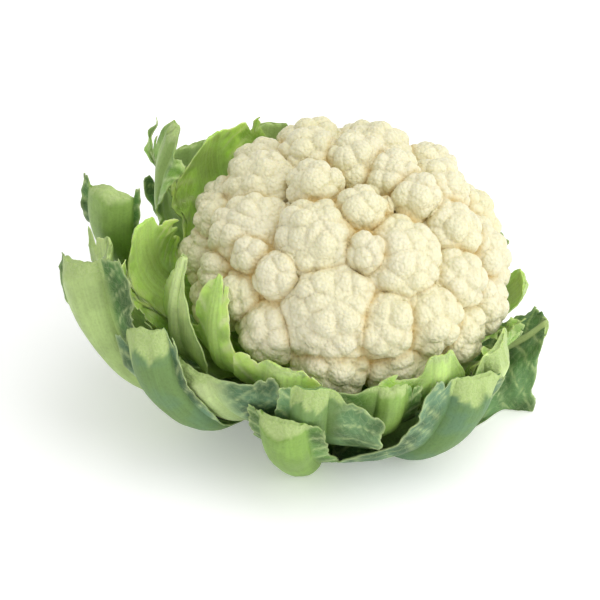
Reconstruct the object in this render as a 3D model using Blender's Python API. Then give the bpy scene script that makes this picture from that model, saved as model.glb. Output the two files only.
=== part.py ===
"""A whole cauliflower, trimmed for the shop: the curd, the stem that carries it, and the leaves that cup it.

The plant leans to the right and to the front, and rests on its butt, which is cut level.
Sizes are in millimetres and angles in degrees; they become metres where a mesh is made.
A place on the plant is written as (radius from its axis, azimuth, height along its axis).
Azimuth 0 is to the right, 90 to the back, 180 to the left and 270 to the front.
"""

import math
from dataclasses import dataclass

import bmesh
import bpy
import numpy as np
from mathutils import Vector
from mathutils.bvhtree import BVHTree

METRES_PER_MM = 0.001

# The plant as a whole
LEAN_RIGHT = 8.36
LEAN_FRONT = 12.6
GAP = 0.4
SHARP_ANGLE = 50.0

# The stem
STEM_RADIUS = 21.0
STEM_TOP_HEIGHT = 45.0
STEM_SIDES = 28
STEM_RIDGES = 5
STEM_RIDGE_DEPTH = 0.5
BUTT_EDGE = 2.5
BUTT_EDGE_INSET = 1.0
STEM_TOP_EDGE = 1.0
STEM_COLOUR = (0.72, 0.76, 0.52)
STEM_ROUGHNESS = 0.5

# The curd: florets on a dome, each a head of smaller clumps, above an underside that tapers to the stem
CURD_RADIUS = 82.0
CURD_DOME_HEIGHT = 68.0
CURD_UNDER_DEPTH = 34.0
CURD_RIM_HEIGHT = 72.0
CURD_HUB_HEIGHT = 62.0
CURD_CORE_SHARE = 0.8
CURD_UNDERSIDE_SLOPE = 0.3
CURD_POINTS = 5000
CURD_THINNED_BELOW = -0.35
CURD_SHARE_KEPT_BELOW = 0.28
FLORET_SWELL = 0.92
CLUMP_SPACING = 12.0
CLUMP_RADIUS = (5.5, 7.4)
CLUMP_RISE = (1.8, 3.6)
CLUMP_JITTER = 0.12
CLUMP_LEAST_FACING = -0.35
FEWEST_CLUMPS = 8
CURD_SEED = 11
CURD_COLOUR = (0.86, 0.80, 0.62)
CURD_ROUGHNESS = 0.62

# Floret centres on the dome: (azimuth, latitude, radius)
FLORETS = (
    (194, 37, 24), (162, 44, 23), (176, 22, 14), (178, 71, 15), (231, 60, 24), (130, 58, 19),
    (100, 72, 18), (259, 78, 14), (40, 74, 17), (2, 70, 15), (298, 57, 24), (272, 60, 12),
    (227, 38, 14), (211, 36, 12), (203, 17, 14), (218, 20, 15), (257, 31, 31), (282, 30, 20),
    (303, 28, 21), (327, 37, 18), (350, 50, 19), (235, 12, 20), (356, 30, 20), (25, 55, 20),
    (318, 12, 18), (340, 10, 19), (182, 2, 19), (205, -4, 17), (262, 4, 22), (290, 3, 20),
    (20, 26, 22), (48, 35, 23), (78, 48, 22), (85, 22, 22), (112, 34, 23), (140, 28, 21),
    (5, 4, 19), (35, 4, 20), (62, 8, 21), (100, 2, 20), (128, 4, 20), (156, 6, 20),
)

# Leaves
LEAF_ROWS = 11
RIB_SHARE = 0.5
RIB_BULGE = 0.18
RIB_ROUNDNESS = 0.75
CHANNEL_DEPTH = 0.12
TWIST_SPAN = (0.35, 0.9)
SLANT_SPAN = (0.6, 1.0)
BLADE_THICKNESS = 1.4
BLADE_LEAST_WIDTH = 1.0
BLADE_GROWTH = 0.3
BLADE_OPENING = (0.45, 0.8)
END_WIDTH_SPAN = (0.6, 1.0)
TEARS = ((0.10, 23.0, 1.0), (0.07, 41.0, 2.0))
TIP_FROM = 0.55
TIP_ROUNDNESS = 0.95
TIP_LEAST_RIB = 0.8
SECTION_SAMPLES = 61
CLEARANCE = 0.8
CLEARANCE_REACH = 16.0
NUDGE = 0.7
NUDGE_TRIES = 60
FOOT_HEIGHT = 0.3


@dataclass
class Blade:
    """One side of a leaf beyond its rib: the share of the leaf's length where it starts, its width
    further on and at the end, the angle that it turns outwards, where across it does so, and how
    far it hangs down instead of outwards."""

    start: float = 0.3
    width: float = 10.0
    end_width: float = 8.0
    curl: float = 0.0
    fold_at: float = 0.5
    fold_span: float = 0.9
    droop: float = 0.0
    ripple: float = 1.0


@dataclass
class Leaf:
    """A leaf: the line of its rib as places on the plant, the rib's half width and thickness at
    its root and at its end, the blades on the two sides, how far its end is cut aslant, and how far
    its back turns anticlockwise towards the end."""

    name: str
    rib_line: tuple
    half_width: tuple = (9.0, 9.0)
    thickness: tuple = (8.5, 7.5)
    clockwise: Blade = None
    anticlockwise: Blade = None
    slant: float = 0.0
    twist: float = 0.0
    waves: float = 2.5
    phase: float = 0.0
    round_tip: bool = False
    blade_steps: int = 2
    tone: str = "outer"


# From the innermost leaf to the outermost: each one lies clear of those before it
LEAVES = (
    Leaf("leaf_young_front_left",
         ((22, 216, 41), (58, 222, 45), (80, 224, 62), (84, 221, 84), (75, 214, 104)),
         half_width=(4.5, 3), thickness=(4.5, 2), clockwise=Blade(0.35, 9, 8, ripple=1.0),
         anticlockwise=Blade(0.35, 8, 8, ripple=1.0), round_tip=True, tone="young"),
    Leaf("leaf_young_front", ((22, 256, 41), (56, 254, 44), (79, 251, 60), (84, 249, 74), (83, 248, 87)),
         half_width=(7, 8), thickness=(4.5, 4.5), clockwise=Blade(0.3, 16, 14),
         anticlockwise=Blade(0.3, 10, 8), phase=0.4, tone="young"),
    Leaf("leaf_crinkled_front", ((22, 300, 41), (56, 300, 44), (80, 299, 62), (84, 298, 80), (79, 298, 97)),
         half_width=(6, 4), thickness=(4.5, 2.5), clockwise=Blade(0.3, 20, 14, ripple=2.5),
         anticlockwise=Blade(0.3, 18, 14, ripple=2.5), waves=4.0, phase=1.6, tone="young"),
    Leaf("leaf_young_right", ((22, 5, 41), (58, 5, 44), (81, 4, 56), (86, 3, 66), (86, 2, 73)),
         half_width=(7, 6), thickness=(4.5, 4), clockwise=Blade(0.3, 18, 16),
         anticlockwise=Blade(0.3, 18, 14), phase=0.9, tone="young"),
    Leaf("leaf_young_back", ((22, 78, 41), (58, 78, 44), (82, 79, 58), (88, 80, 70), (88, 81, 78)),
         half_width=(7, 6), thickness=(4.5, 4), clockwise=Blade(0.3, 26, 22, ripple=2),
         anticlockwise=Blade(0.3, 26, 22, ripple=2), phase=2.7, tone="young"),
    Leaf("leaf_young_back_left", ((22, 140, 41), (58, 140, 44), (82, 140, 60), (89, 141, 80), (87, 142, 99)),
         half_width=(7, 5), thickness=(4.5, 3), clockwise=Blade(0.3, 32, 24, ripple=1.5),
         anticlockwise=Blade(0.3, 26, 22, ripple=1.5), phase=1.0, tone="young"),
    Leaf("leaf_young_left", ((22, 180, 41), (58, 182, 44), (85, 186, 57), (96, 188, 78), (100, 188, 102)),
         half_width=(7.5, 6), thickness=(4.5, 4), clockwise=Blade(0.3, 16, 14, ripple=1.5),
         anticlockwise=Blade(0.3, 18, 12, ripple=1.5), twist=-42, phase=2.0, tone="young"),
    Leaf("leaf_pointed_left", ((22, 206, 34), (58, 208, 38), (85, 210, 54), (91, 208, 80), (87, 205, 109)),
         half_width=(8, 1.5), thickness=(7, 3), clockwise=Blade(0.4, 6, 0.2),
         anticlockwise=Blade(0.4, 8, 0.2), tone="middle"),
    Leaf("leaf_long_back_left",
         ((22, 160, 34), (60, 158, 37), (92, 154, 56), (101, 150, 80), (100, 147, 102)),
         half_width=(8, 6.5), thickness=(7, 7), clockwise=Blade(0.5, 12, 12, ripple=2.5),
         anticlockwise=Blade(0.5, 9, 8, ripple=2), twist=65, waves=4.0, phase=0.7, tone="middle"),
    Leaf("leaf_dark_front", ((22, 285, 34), (56, 284, 38), (79, 283, 53), (84.5, 282, 72), (84, 281, 89)),
         half_width=(7, 6), thickness=(6, 6), clockwise=Blade(0.3, 30, 28, ripple=1.5),
         anticlockwise=Blade(0.4, 7, 6), tone="outer"),
    Leaf("leaf_angled_right", ((22, 332, 34), (56, 330, 38), (79, 326, 54), (84, 322, 72), (83, 320, 90)),
         half_width=(7, 9), thickness=(6.5, 9), clockwise=Blade(0.35, 12, 6, ripple=2),
         anticlockwise=Blade(0.4, 9, 5), tone="middle"),
    Leaf("leaf_low_back_right", ((22, 40, 33), (58, 40, 35), (84, 40, 45), (92, 40, 56), (93, 40, 67)),
         half_width=(8, 8), thickness=(7, 7), clockwise=Blade(0.3, 15, 12, ripple=2),
         anticlockwise=Blade(0.3, 20, 16, ripple=2), phase=0.3, tone="outer"),
    Leaf("leaf_wide_back", ((22, 108, 33), (58, 110, 36), (86, 113, 50), (95, 114, 64), (97, 114, 78)),
         half_width=(8.5, 9), thickness=(7, 7), clockwise=Blade(0.3, 22, 18, ripple=2.5),
         anticlockwise=Blade(0.3, 22, 18, ripple=2.5), phase=1.9, tone="outer"),
    Leaf("leaf_stub_left", ((22, 186, 25), (60, 189, 28), (95, 191, 46), (107, 190, 68), (110, 188, 88)),
         half_width=(8, 6), thickness=(7, 6), clockwise=Blade(0.45, 8, 5),
         anticlockwise=Blade(0.4, 14, 10), twist=45, slant=-0.5, tone="middle"),
    Leaf("leaf_upright_left", ((22, 150, 25), (60, 160, 28), (99, 172, 46), (112, 177, 76), (115, 177, 108)),
         half_width=(8, 11), thickness=(7.5, 9), clockwise=Blade(0.4, 4, 3),
         anticlockwise=Blade(0.4, 4, 3), twist=68, slant=0.1, phase=0.5, tone="outer"),
    Leaf("leaf_cup_front_left", ((22, 234, 25), (57, 233, 30), (85, 230, 44), (94, 226, 57), (97, 223, 69)),
         half_width=(8.5, 11), thickness=(7, 8), clockwise=Blade(0.4, 5, 4),
         anticlockwise=Blade(0.25, 34, 30, curl=-25, fold_at=0.2, fold_span=0.4, ripple=2), blade_steps=3,
         tone="outer"),
    Leaf("leaf_folded_front", ((22, 262, 25), (56, 261, 30), (80, 260, 46), (88, 259, 66), (87, 258, 88)),
         half_width=(7, 7), thickness=(6, 5), clockwise=Blade(0.4, 6, 5),
         anticlockwise=Blade(0.4, 26, 24, curl=40, fold_at=0.3, droop=0.5, ripple=2), blade_steps=3,
         tone="middle"),
    Leaf("leaf_cut_right", ((22, 350, 25), (56, 350, 28), (82, 350, 41), (92, 351, 52), (99, 352, 63)),
         half_width=(7, 8), thickness=(7, 8),
         clockwise=Blade(0.3, 38, 34, curl=88, fold_at=0.15, fold_span=0.5, droop=0.93, ripple=3),
         anticlockwise=Blade(0.4, 8, 6), blade_steps=4, tone="outer"),
    Leaf("leaf_outer_back", ((22, 66, 20), (60, 68, 22), (92, 70, 34), (101, 72, 50), (103, 73, 64)),
         half_width=(8.5, 10), thickness=(8, 9), clockwise=Blade(0.35, 16, 14, ripple=2.5),
         anticlockwise=Blade(0.35, 20, 16, ripple=2.5), phase=3.1, tone="outer"),
    Leaf("leaf_outer_back_left",
         ((22, 124, 10), (60, 128, 12), (96, 132, 28), (108, 134, 48), (110, 134, 66)),
         half_width=(8.5, 10), thickness=(8, 9), clockwise=Blade(0.35, 22, 18, ripple=2.5),
         anticlockwise=Blade(0.35, 16, 14, ripple=2.5), phase=0.2, tone="outer"),
    Leaf("leaf_far_left", ((22, 196, 7), (60, 207, 11), (98, 205, 32), (119, 198, 58), (128, 190, 87)),
         half_width=(8, 12), thickness=(7, 11), clockwise=Blade(0.5, 8, 5),
         anticlockwise=Blade(0.4, 18, 16, ripple=2.5), twist=38, phase=0.8, tone="outer"),
    Leaf("leaf_cut_front_left",
         ((22, 216, 17), (58, 225, 22), (91, 226, 38), (104, 219, 58), (108, 211, 82)),
         half_width=(8, 10), thickness=(7.5, 10), clockwise=Blade(0.5, 6, 5, ripple=2),
         anticlockwise=Blade(0.4, 5, 3), twist=25, tone="outer"),
    Leaf("leaf_upright_front", ((22, 260, 16.5), (50, 260, 21), (70, 258, 29), (82, 255, 48), (87, 252, 74)),
         half_width=(8, 9), thickness=(8, 10), clockwise=Blade(0.45, 6, 5),
         anticlockwise=Blade(0.45, 7, 6), tone="outer"),
    Leaf("leaf_swept_front", ((22, 307, 16.5), (50, 301, 22), (76, 298, 31), (88, 302, 48), (90, 306, 66),
                              (87, 310, 84)),
         half_width=(8, 12), thickness=(8, 11), clockwise=Blade(0.25, 18, 12, ripple=2),
         anticlockwise=Blade(0.5, 6, 5), phase=1.2, tone="outer"),
)

# The colour and roughness of the leaves of each tone
TONES = {
    "outer": ((0.20, 0.33, 0.20), 0.45),
    "middle": ((0.42, 0.55, 0.24), 0.42),
    "young": ((0.55, 0.68, 0.26), 0.40),
}


def plant_basis():
    """The plant's axis, and the directions across it to the right and to the back."""
    axis = np.array([math.tan(math.radians(LEAN_RIGHT)), -math.tan(math.radians(LEAN_FRONT)), 1.0])
    axis /= np.linalg.norm(axis)
    right = np.array([1.0, 0.0, 0.0]) - axis[0] * axis
    right /= np.linalg.norm(right)
    return right, np.cross(axis, right), axis


RIGHT, BACK, AXIS = plant_basis()


def place(radius, azimuth, height):
    """World position in mm of a place on the plant; the azimuth is in radians."""
    radius, azimuth, height = np.broadcast_arrays(radius, azimuth, height)
    across = np.cos(azimuth)[..., None] * RIGHT + np.sin(azimuth)[..., None] * BACK
    return radius[..., None] * across + height[..., None] * AXIS


def ground_height(radius, azimuth):
    """Height along the axis at which a line beside it meets the ground."""
    return -radius * (np.cos(azimuth) * RIGHT[2] + np.sin(azimuth) * BACK[2]) / AXIS[2]


def smooth_step(low, high, value):
    share = np.clip((value - low) / (high - low), 0.0, 1.0)
    return share * share * (3.0 - 2.0 * share)


def fibonacci_directions(count):
    """Unit vectors spread evenly over a sphere, from the bottom to the top."""
    index = np.arange(count)
    height = (2.0 * index + 1.0) / count - 1.0
    turn = index * math.pi * (3.0 - math.sqrt(5.0))
    level = np.sqrt(1.0 - height**2)
    return np.stack([level * np.cos(turn), level * np.sin(turn), height], axis=1)


def material(name, colour, roughness):
    made = bpy.data.materials.new(name)
    made.use_nodes = True
    shader = made.node_tree.nodes["Principled BSDF"]
    shader.inputs["Base Color"].default_value = (*colour, 1.0)
    shader.inputs["Roughness"].default_value = roughness
    shader.inputs["Metallic"].default_value = 0.0
    return made


def add_object(name, points, faces, finish):
    """A mesh object from points in mm, shaded smooth but for its sharp edges."""
    mesh = bpy.data.meshes.new(name)
    mesh.from_pydata((np.asarray(points) * METRES_PER_MM).tolist(), [], faces)
    mesh.materials.append(finish)
    mesh.shade_smooth()
    mesh.set_sharp_from_angle(angle=math.radians(SHARP_ANGLE))
    made = bpy.data.objects.new(name, mesh)
    bpy.context.scene.collection.objects.link(made)
    return made


def tree_of(points, faces):
    return BVHTree.FromPolygons([tuple(point) for point in points], faces)


def dome_place(azimuth, latitude):
    """A point on the dome that holds the florets, and the dome's normal there, in plant axes."""
    azimuth, latitude = np.radians(azimuth), np.radians(latitude)
    height = CURD_DOME_HEIGHT if latitude >= 0 else CURD_UNDER_DEPTH
    direction = np.array([
        math.cos(latitude) * math.cos(azimuth),
        math.cos(latitude) * math.sin(azimuth),
        math.sin(latitude),
    ])
    scale = np.array([CURD_RADIUS, CURD_RADIUS, height])
    normal = direction / scale
    return direction * scale + np.array([0, 0, CURD_RIM_HEIGHT]), normal / np.linalg.norm(normal)


def curd_spheres(random):
    """Centres and radii of the spheres whose union is the curd: each floret, and the clumps on it."""
    centres, radii = [], []
    for azimuth, latitude, radius in FLORETS:
        point, normal = dome_place(azimuth, latitude)
        radius = radius * FLORET_SWELL
        body = radius - CLUMP_RISE[1]
        centre = point - normal * radius
        centres.append(centre)
        radii.append(body)
        count = max(FEWEST_CLUMPS, round(4 * math.pi * radius**2 / CLUMP_SPACING**2))
        for direction in fibonacci_directions(count):
            direction = direction + random.normal(0.0, CLUMP_JITTER, 3)
            direction /= np.linalg.norm(direction)
            clump = random.uniform(*CLUMP_RADIUS)
            rise = random.uniform(*CLUMP_RISE)
            if direction @ normal < CLUMP_LEAST_FACING:
                continue
            centres.append(centre + direction * (body + rise - clump))
            radii.append(clump)
    return np.array(centres), np.array(radii)


def curd_reach(directions, hub, centres, radii):
    """Distance from the hub to the curd's surface in each direction."""
    offsets = centres - hub
    along = directions @ offsets.T
    inside = radii[None, :] ** 2 - ((offsets**2).sum(axis=1)[None, :] - along**2)
    reach = np.where(inside > 0, along + np.sqrt(np.maximum(inside, 0.0)), 0.0).max(axis=1)
    level = np.hypot(directions[:, 0], directions[:, 1])
    up = directions[:, 2]
    depth = np.where(up > 0, CURD_DOME_HEIGHT, CURD_UNDER_DEPTH)
    core = CURD_CORE_SHARE / np.sqrt((level / CURD_RADIUS) ** 2 + (up / depth) ** 2)
    drop = hub[2] - STEM_TOP_HEIGHT
    fall = np.maximum(CURD_UNDERSIDE_SLOPE * level - up, 1e-6)
    cone = (drop + CURD_UNDERSIDE_SLOPE * STEM_RADIUS) / fall
    seat = drop / np.maximum(-up, 1e-6)
    return np.maximum(reach, np.minimum(core, np.minimum(cone, seat)))


def make_curd():
    random = np.random.default_rng(CURD_SEED)
    hub = np.array([0.0, 0.0, CURD_HUB_HEIGHT])
    directions = fibonacci_directions(CURD_POINTS)
    below = directions[:, 2] < CURD_THINNED_BELOW
    keep = ~below | (random.random(CURD_POINTS) < CURD_SHARE_KEPT_BELOW)
    directions = directions[keep]
    reach = curd_reach(directions, hub, *curd_spheres(random))
    shape = bmesh.new()
    corners = [shape.verts.new(direction) for direction in directions]
    bmesh.ops.convex_hull(shape, input=corners)
    shape.verts.index_update()
    faces = [tuple(corner.index for corner in face.verts) for face in shape.faces]
    shape.free()
    local = hub + directions * reach[:, None]
    points = local[:, 0:1] * RIGHT + local[:, 1:2] * BACK + local[:, 2:3] * AXIS
    add_object("curd", points, faces, material("curd", CURD_COLOUR, CURD_ROUGHNESS))
    return tree_of(points, faces)


def make_stem():
    """A ridged stem from its level cut butt to just under the curd."""
    turn = np.linspace(0.0, 2 * math.pi, STEM_SIDES, endpoint=False)
    ridge = STEM_RIDGE_DEPTH * (np.cos(STEM_RIDGES * turn) - 1.0)
    base = STEM_RADIUS - BUTT_EDGE_INSET
    top = STEM_TOP_HEIGHT - GAP
    rings = [
        place(base + ridge, turn, ground_height(base + ridge, turn)),
        place(STEM_RADIUS + ridge, turn, ground_height(STEM_RADIUS + ridge, turn) + BUTT_EDGE),
        place(STEM_RADIUS + ridge, turn, np.full_like(turn, top * 0.5)),
        place(STEM_RADIUS + ridge, turn, np.full_like(turn, top - STEM_TOP_EDGE)),
        place(STEM_RADIUS - STEM_TOP_EDGE + ridge, turn, np.full_like(turn, top)),
    ]
    rings[0][:, 2] = 0.0
    points = np.concatenate(rings + [np.zeros((1, 3)), top * AXIS[None, :]])
    floor, crown = len(points) - 2, len(points) - 1
    last = (len(rings) - 1) * STEM_SIDES
    faces = []
    for side in range(STEM_SIDES):
        after = (side + 1) % STEM_SIDES
        faces.append((floor, after, side))
        faces.append((crown, last + side, last + after))
        for ring in range(len(rings) - 1):
            low, high = ring * STEM_SIDES, (ring + 1) * STEM_SIDES
            faces.append((low + side, low + after, high + after, high + side))
    add_object("stem", points, faces, material("stem", STEM_COLOUR, STEM_ROUGHNESS))
    return tree_of(points, faces)


def smooth_line(stations, shares):
    """Points at the given shares of the length of a smooth curve through the stations."""
    points = np.asarray(stations, float)
    moved = np.diff(points, axis=0)
    moved[:, 1] = np.radians(moved[:, 1]) * points[1:, 0]
    knots = np.concatenate([[0.0], np.cumsum(np.linalg.norm(moved, axis=1))])
    knots /= knots[-1]
    slopes = np.gradient(points, knots, axis=0)
    index = np.clip(np.searchsorted(knots, shares, side="right") - 1, 0, len(knots) - 2)
    span = (knots[index + 1] - knots[index])[:, None]
    t = (shares - knots[index])[:, None] / span
    return (
        (2 * t**3 - 3 * t**2 + 1) * points[index]
        + (t**3 - 2 * t**2 + t) * span * slopes[index]
        + (3 * t**2 - 2 * t**3) * points[index + 1]
        + (t**3 - t**2) * span * slopes[index + 1]
    )


def rib_frames(leaf, shares):
    """Along the rib: its places, and the directions across the leaf, out of its back and along
    it, each written as (away from the axis, round it, along it)."""
    step = 1e-3
    here = smooth_line(leaf.rib_line, shares)
    change = smooth_line(leaf.rib_line, np.minimum(shares + step, 1.0))
    change = change - smooth_line(leaf.rib_line, np.maximum(shares - step, 0.0))
    along = np.stack([change[:, 0], here[:, 0] * np.radians(change[:, 1]), change[:, 2]], axis=1)
    along /= np.linalg.norm(along, axis=1, keepdims=True)
    across = np.array([0.0, 1.0, 0.0]) - along[:, 1:2] * along
    across /= np.linalg.norm(across, axis=1, keepdims=True)
    out = np.cross(across, along)
    twist = np.radians(leaf.twist) * smooth_step(*TWIST_SPAN, shares)[:, None]
    turned = across * np.cos(twist) - out * np.sin(twist)
    return here, turned, out * np.cos(twist) + across * np.sin(twist), along


def tip_fade(shares):
    """How wide a leaf with a rounded tip still is at each share of its length."""
    return np.sqrt(1.0 - TIP_ROUNDNESS * np.clip((shares - TIP_FROM) / (1.0 - TIP_FROM), 0.0, 1.0) ** 2)


def blade_width(leaf, blade, shares):
    """How far a blade reaches beyond the rib at each share of the leaf's length."""
    if blade is None:
        return np.full_like(shares, BLADE_LEAST_WIDTH)
    grown = smooth_step(blade.start, blade.start + BLADE_GROWTH, shares)
    width = blade.width + (blade.end_width - blade.width) * smooth_step(*END_WIDTH_SPAN, shares)
    for depth, waves, turns in TEARS:
        width = width + blade.width * depth * np.sin(waves * shares + turns * leaf.phase)
    if leaf.round_tip:
        width = width * tip_fade(shares)
    return np.maximum(BLADE_LEAST_WIDTH + grown * width, BLADE_LEAST_WIDTH)


def half_section(leaf, blade, rib, shares, columns):
    """One side of the leaf, from the middle of its rib to its edge: how far across and how far
    outwards each point lies."""
    samples = np.linspace(0.0, 1.0, SECTION_SAMPLES)
    beyond = np.clip((samples - RIB_SHARE) / (1.0 - RIB_SHARE), 0.0, 1.0)
    width = blade_width(leaf, blade, shares)
    on_rib = np.clip(samples / RIB_SHARE, 0.0, 1.0)
    length = rib[:, None] * on_rib[None, :] + width[:, None] * beyond[None, :]
    heading = np.zeros_like(samples)
    ripple = 0.0
    if blade is not None:
        low, high = blade.fold_at - blade.fold_span / 2, blade.fold_at + blade.fold_span / 2
        heading = np.radians(blade.curl) * smooth_step(low, high, beyond)
        ripple = blade.ripple
    opened = smooth_step(*BLADE_OPENING, shares)[:, None]
    heading = heading[None, :] * opened
    steps = np.diff(length, axis=1, prepend=0.0)
    across = np.cumsum(steps * np.cos(heading), axis=1)
    outwards = np.cumsum(steps * np.sin(heading), axis=1)
    wave = np.sin(2 * math.pi * leaf.waves * shares + leaf.phase)[:, None]
    outwards = outwards + ripple * wave * opened * beyond[None, :] ** 2
    return [np.array([np.interp(columns, samples, row) for row in field]) for field in (across, outwards)]


def face_normals(sheet):
    """Unit normals of a grid of points, pointing to the leaf's outer side."""
    normals = np.cross(np.gradient(sheet, axis=1), np.gradient(sheet, axis=0))
    return normals / np.linalg.norm(normals, axis=-1, keepdims=True)


def leaf_sheet(leaf, rows, columns):
    """The leaf's inner face as a grid of world points, its outward normals, its thickness and
    the direction straight out from the rib. Rows run from the root to the end, and columns
    from -1, the clockwise edge, to 1."""
    line, across_dir, out_dir, along_dir = rib_frames(leaf, rows)
    radius, azimuth, height = line[:, 0], np.radians(line[:, 1]), line[:, 2]
    rib = leaf.half_width[0] + (leaf.half_width[1] - leaf.half_width[0]) * rows
    rib = rib * (1.0 + RIB_BULGE * np.sin(math.pi * rows))
    rib_thick = leaf.thickness[0] + (leaf.thickness[1] - leaf.thickness[0]) * rows
    if leaf.round_tip:
        rib = np.maximum(rib * tip_fade(rows), TIP_LEAST_RIB)
        rib_thick = np.maximum(rib_thick * tip_fade(rows), BLADE_THICKNESS)
    across, outwards, droop = np.zeros((3, len(rows), len(columns)))
    for side, blade in ((-1.0, leaf.clockwise), (1.0, leaf.anticlockwise)):
        chosen = columns * side >= 0.0
        reach, out = half_section(leaf, blade, rib, rows, np.abs(columns[chosen]))
        across[:, chosen] = side * reach
        outwards[:, chosen] = out
        droop[:, chosen] = 0.0 if blade is None else blade.droop
    slanted = leaf.slant * across * smooth_step(*SLANT_SPAN, rows)[:, None]
    move = across[..., None] * across_dir[:, None, :] + slanted[..., None] * along_dir[:, None, :]
    new_radius = np.maximum(radius[:, None] + move[..., 0], STEM_RADIUS + GAP)
    new_azimuth = azimuth[:, None] + move[..., 1] / radius[:, None]
    away = np.cos(new_azimuth)[..., None] * RIGHT + np.sin(new_azimuth)[..., None] * BACK
    round_axis = np.cos(new_azimuth)[..., None] * BACK - np.sin(new_azimuth)[..., None] * RIGHT
    out = out_dir[:, None, :]
    straight_out = out[..., 0:1] * away + out[..., 1:2] * round_axis + out[..., 2:3] * AXIS
    hanging = straight_out * (1.0 - droop[..., None]) + droop[..., None] * np.array([0.0, 0.0, -1.0])
    hanging /= np.linalg.norm(hanging, axis=-1, keepdims=True)
    sheet = place(new_radius, new_azimuth, height[:, None] + move[..., 2]) + outwards[..., None] * hanging
    normals = face_normals(sheet)
    dome = (1.0 - np.clip(np.abs(columns) / RIB_SHARE, 0.0, 1.0) ** 2) ** RIB_ROUNDNESS
    channel = CHANNEL_DEPTH * rib_thick[:, None] * dome[None, :]
    thick = BLADE_THICKNESS + np.maximum(rib_thick - BLADE_THICKNESS, 0.0)[:, None] * dome[None, :]
    return sheet + channel[..., None] * normals, normals, thick - channel, straight_out


def neighbours(field, combine):
    """Each grid point's value combined with those one step around it."""
    padded = np.pad(field, 1, mode="edge")
    tall, wide = field.shape
    return combine([padded[i : i + tall, j : j + wide] for i in range(3) for j in range(3)], axis=0)


def depth_inside(sheet, straight_out, earlier):
    """How far each point of a leaf has to move outwards to leave the pieces that it is inside."""
    field = np.zeros(sheet.shape[:2])
    for index in np.ndindex(field.shape):
        outward = Vector(straight_out[index])
        for tree in earlier:
            _, normal, _, distance = tree.ray_cast(Vector(sheet[index]), outward, CLEARANCE_REACH)
            if distance is not None and normal.dot(outward) > 0.0:
                field[index] = max(field[index], distance + CLEARANCE)
    return field


def leaf_faces(tall, wide):
    """Triangles of a closed leaf: its outer grid, its inner grid, both split alike, and its rim."""
    inner = tall * wide
    faces = []
    for i in range(tall - 1):
        for j in range(wide - 1):
            a, b = i * wide + j, i * wide + j + 1
            c, d = b + wide, a + wide
            faces += [(a, b, c), (a, c, d)]
            faces += [(inner + c, inner + b, inner + a), (inner + d, inner + c, inner + a)]
    ring = [j for j in range(wide)]
    ring += [i * wide + wide - 1 for i in range(1, tall)]
    ring += [(tall - 1) * wide + j for j in range(wide - 2, -1, -1)]
    ring += [i * wide for i in range(tall - 2, 0, -1)]
    for a, b in zip(ring, ring[1:] + ring[:1]):
        faces += [(b, a, inner + a), (b, inner + a, inner + b)]
    return faces


def on_the_ground(sheet, outer):
    """Lifts what would pass through the ground, and keeps the leaf's thickness there."""
    outer[..., 2] = np.maximum(outer[..., 2], FOOT_HEIGHT)
    sheet[..., 2] = np.maximum(sheet[..., 2], FOOT_HEIGHT + BLADE_THICKNESS)
    return sheet, outer


def settled_leaf(leaf, earlier, columns):
    """The leaf's inner and outer grids, moved outwards until they are clear of earlier pieces."""
    sheet, normals, thick, straight_out = leaf_sheet(leaf, np.linspace(0.0, 1.0, LEAF_ROWS), columns)
    push = depth_inside(sheet, straight_out, earlier)
    push = np.maximum(push, neighbours(push, np.mean))
    faces = leaf_faces(LEAF_ROWS, len(columns))
    count = push.size
    for attempt in range(NUDGE_TRIES):
        moved = sheet + push[..., None] * straight_out
        inner, outer = on_the_ground(moved.copy(), moved + thick[..., None] * normals)
        skin = normals * GAP
        padded = np.concatenate([(outer + skin).reshape(-1, 3), (inner - skin).reshape(-1, 3)])
        tree = tree_of(padded, faces)
        hit = np.zeros(count)
        for other in earlier:
            for face, _ in tree.overlap(other):
                for corner in faces[face]:
                    hit[corner % count] = 1.0
        if not hit.any():
            break
        push = push + NUDGE * neighbours(neighbours(hit.reshape(push.shape), np.max), np.mean)
    return inner, outer, hit.any()


def make_leaf(leaf, earlier, finishes):
    on_rib = np.array([0.0, 0.5, 1.0]) * RIB_SHARE
    on_blade = RIB_SHARE + (1.0 - RIB_SHARE) * np.arange(1, leaf.blade_steps + 1) / leaf.blade_steps
    half = np.concatenate([on_rib, on_blade])
    columns = np.concatenate([-half[:0:-1], half])
    inner, outer, touching = settled_leaf(leaf, earlier, columns)
    points = np.concatenate([outer.reshape(-1, 3), inner.reshape(-1, 3)])
    faces = leaf_faces(LEAF_ROWS, len(columns))
    add_object(leaf.name, points, faces, finishes[leaf.tone])
    return tree_of(points, faces), touching


def main():
    for old in list(bpy.data.objects):
        bpy.data.objects.remove(old)
    earlier = [make_stem(), make_curd()]
    finishes = {tone: material(f"leaf_{tone}", *finish) for tone, finish in TONES.items()}
    for leaf in LEAVES:
        tree, touching = make_leaf(leaf, earlier, finishes)
        earlier.append(tree)
        if touching:
            print("still touching:", leaf.name)


if __name__ == "__main__":
    main()
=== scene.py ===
"""The looks of a trimmed cauliflower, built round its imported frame.

The curd is made by Geometry Nodes: spheres for the florets and their clumps become one skin, which then
swells into bumps and grains. Each leaf repeats the frame's rule on a finer grid, with veins, torn edges
and a cut end. Plant sizes are in millimetres and become metres where a mesh is made.
A place on the plant is (radius from its axis, azimuth, height along its axis); azimuth 0 is to the right,
90 to the back, 180 to the left and 270 to the front.
"""

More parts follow.
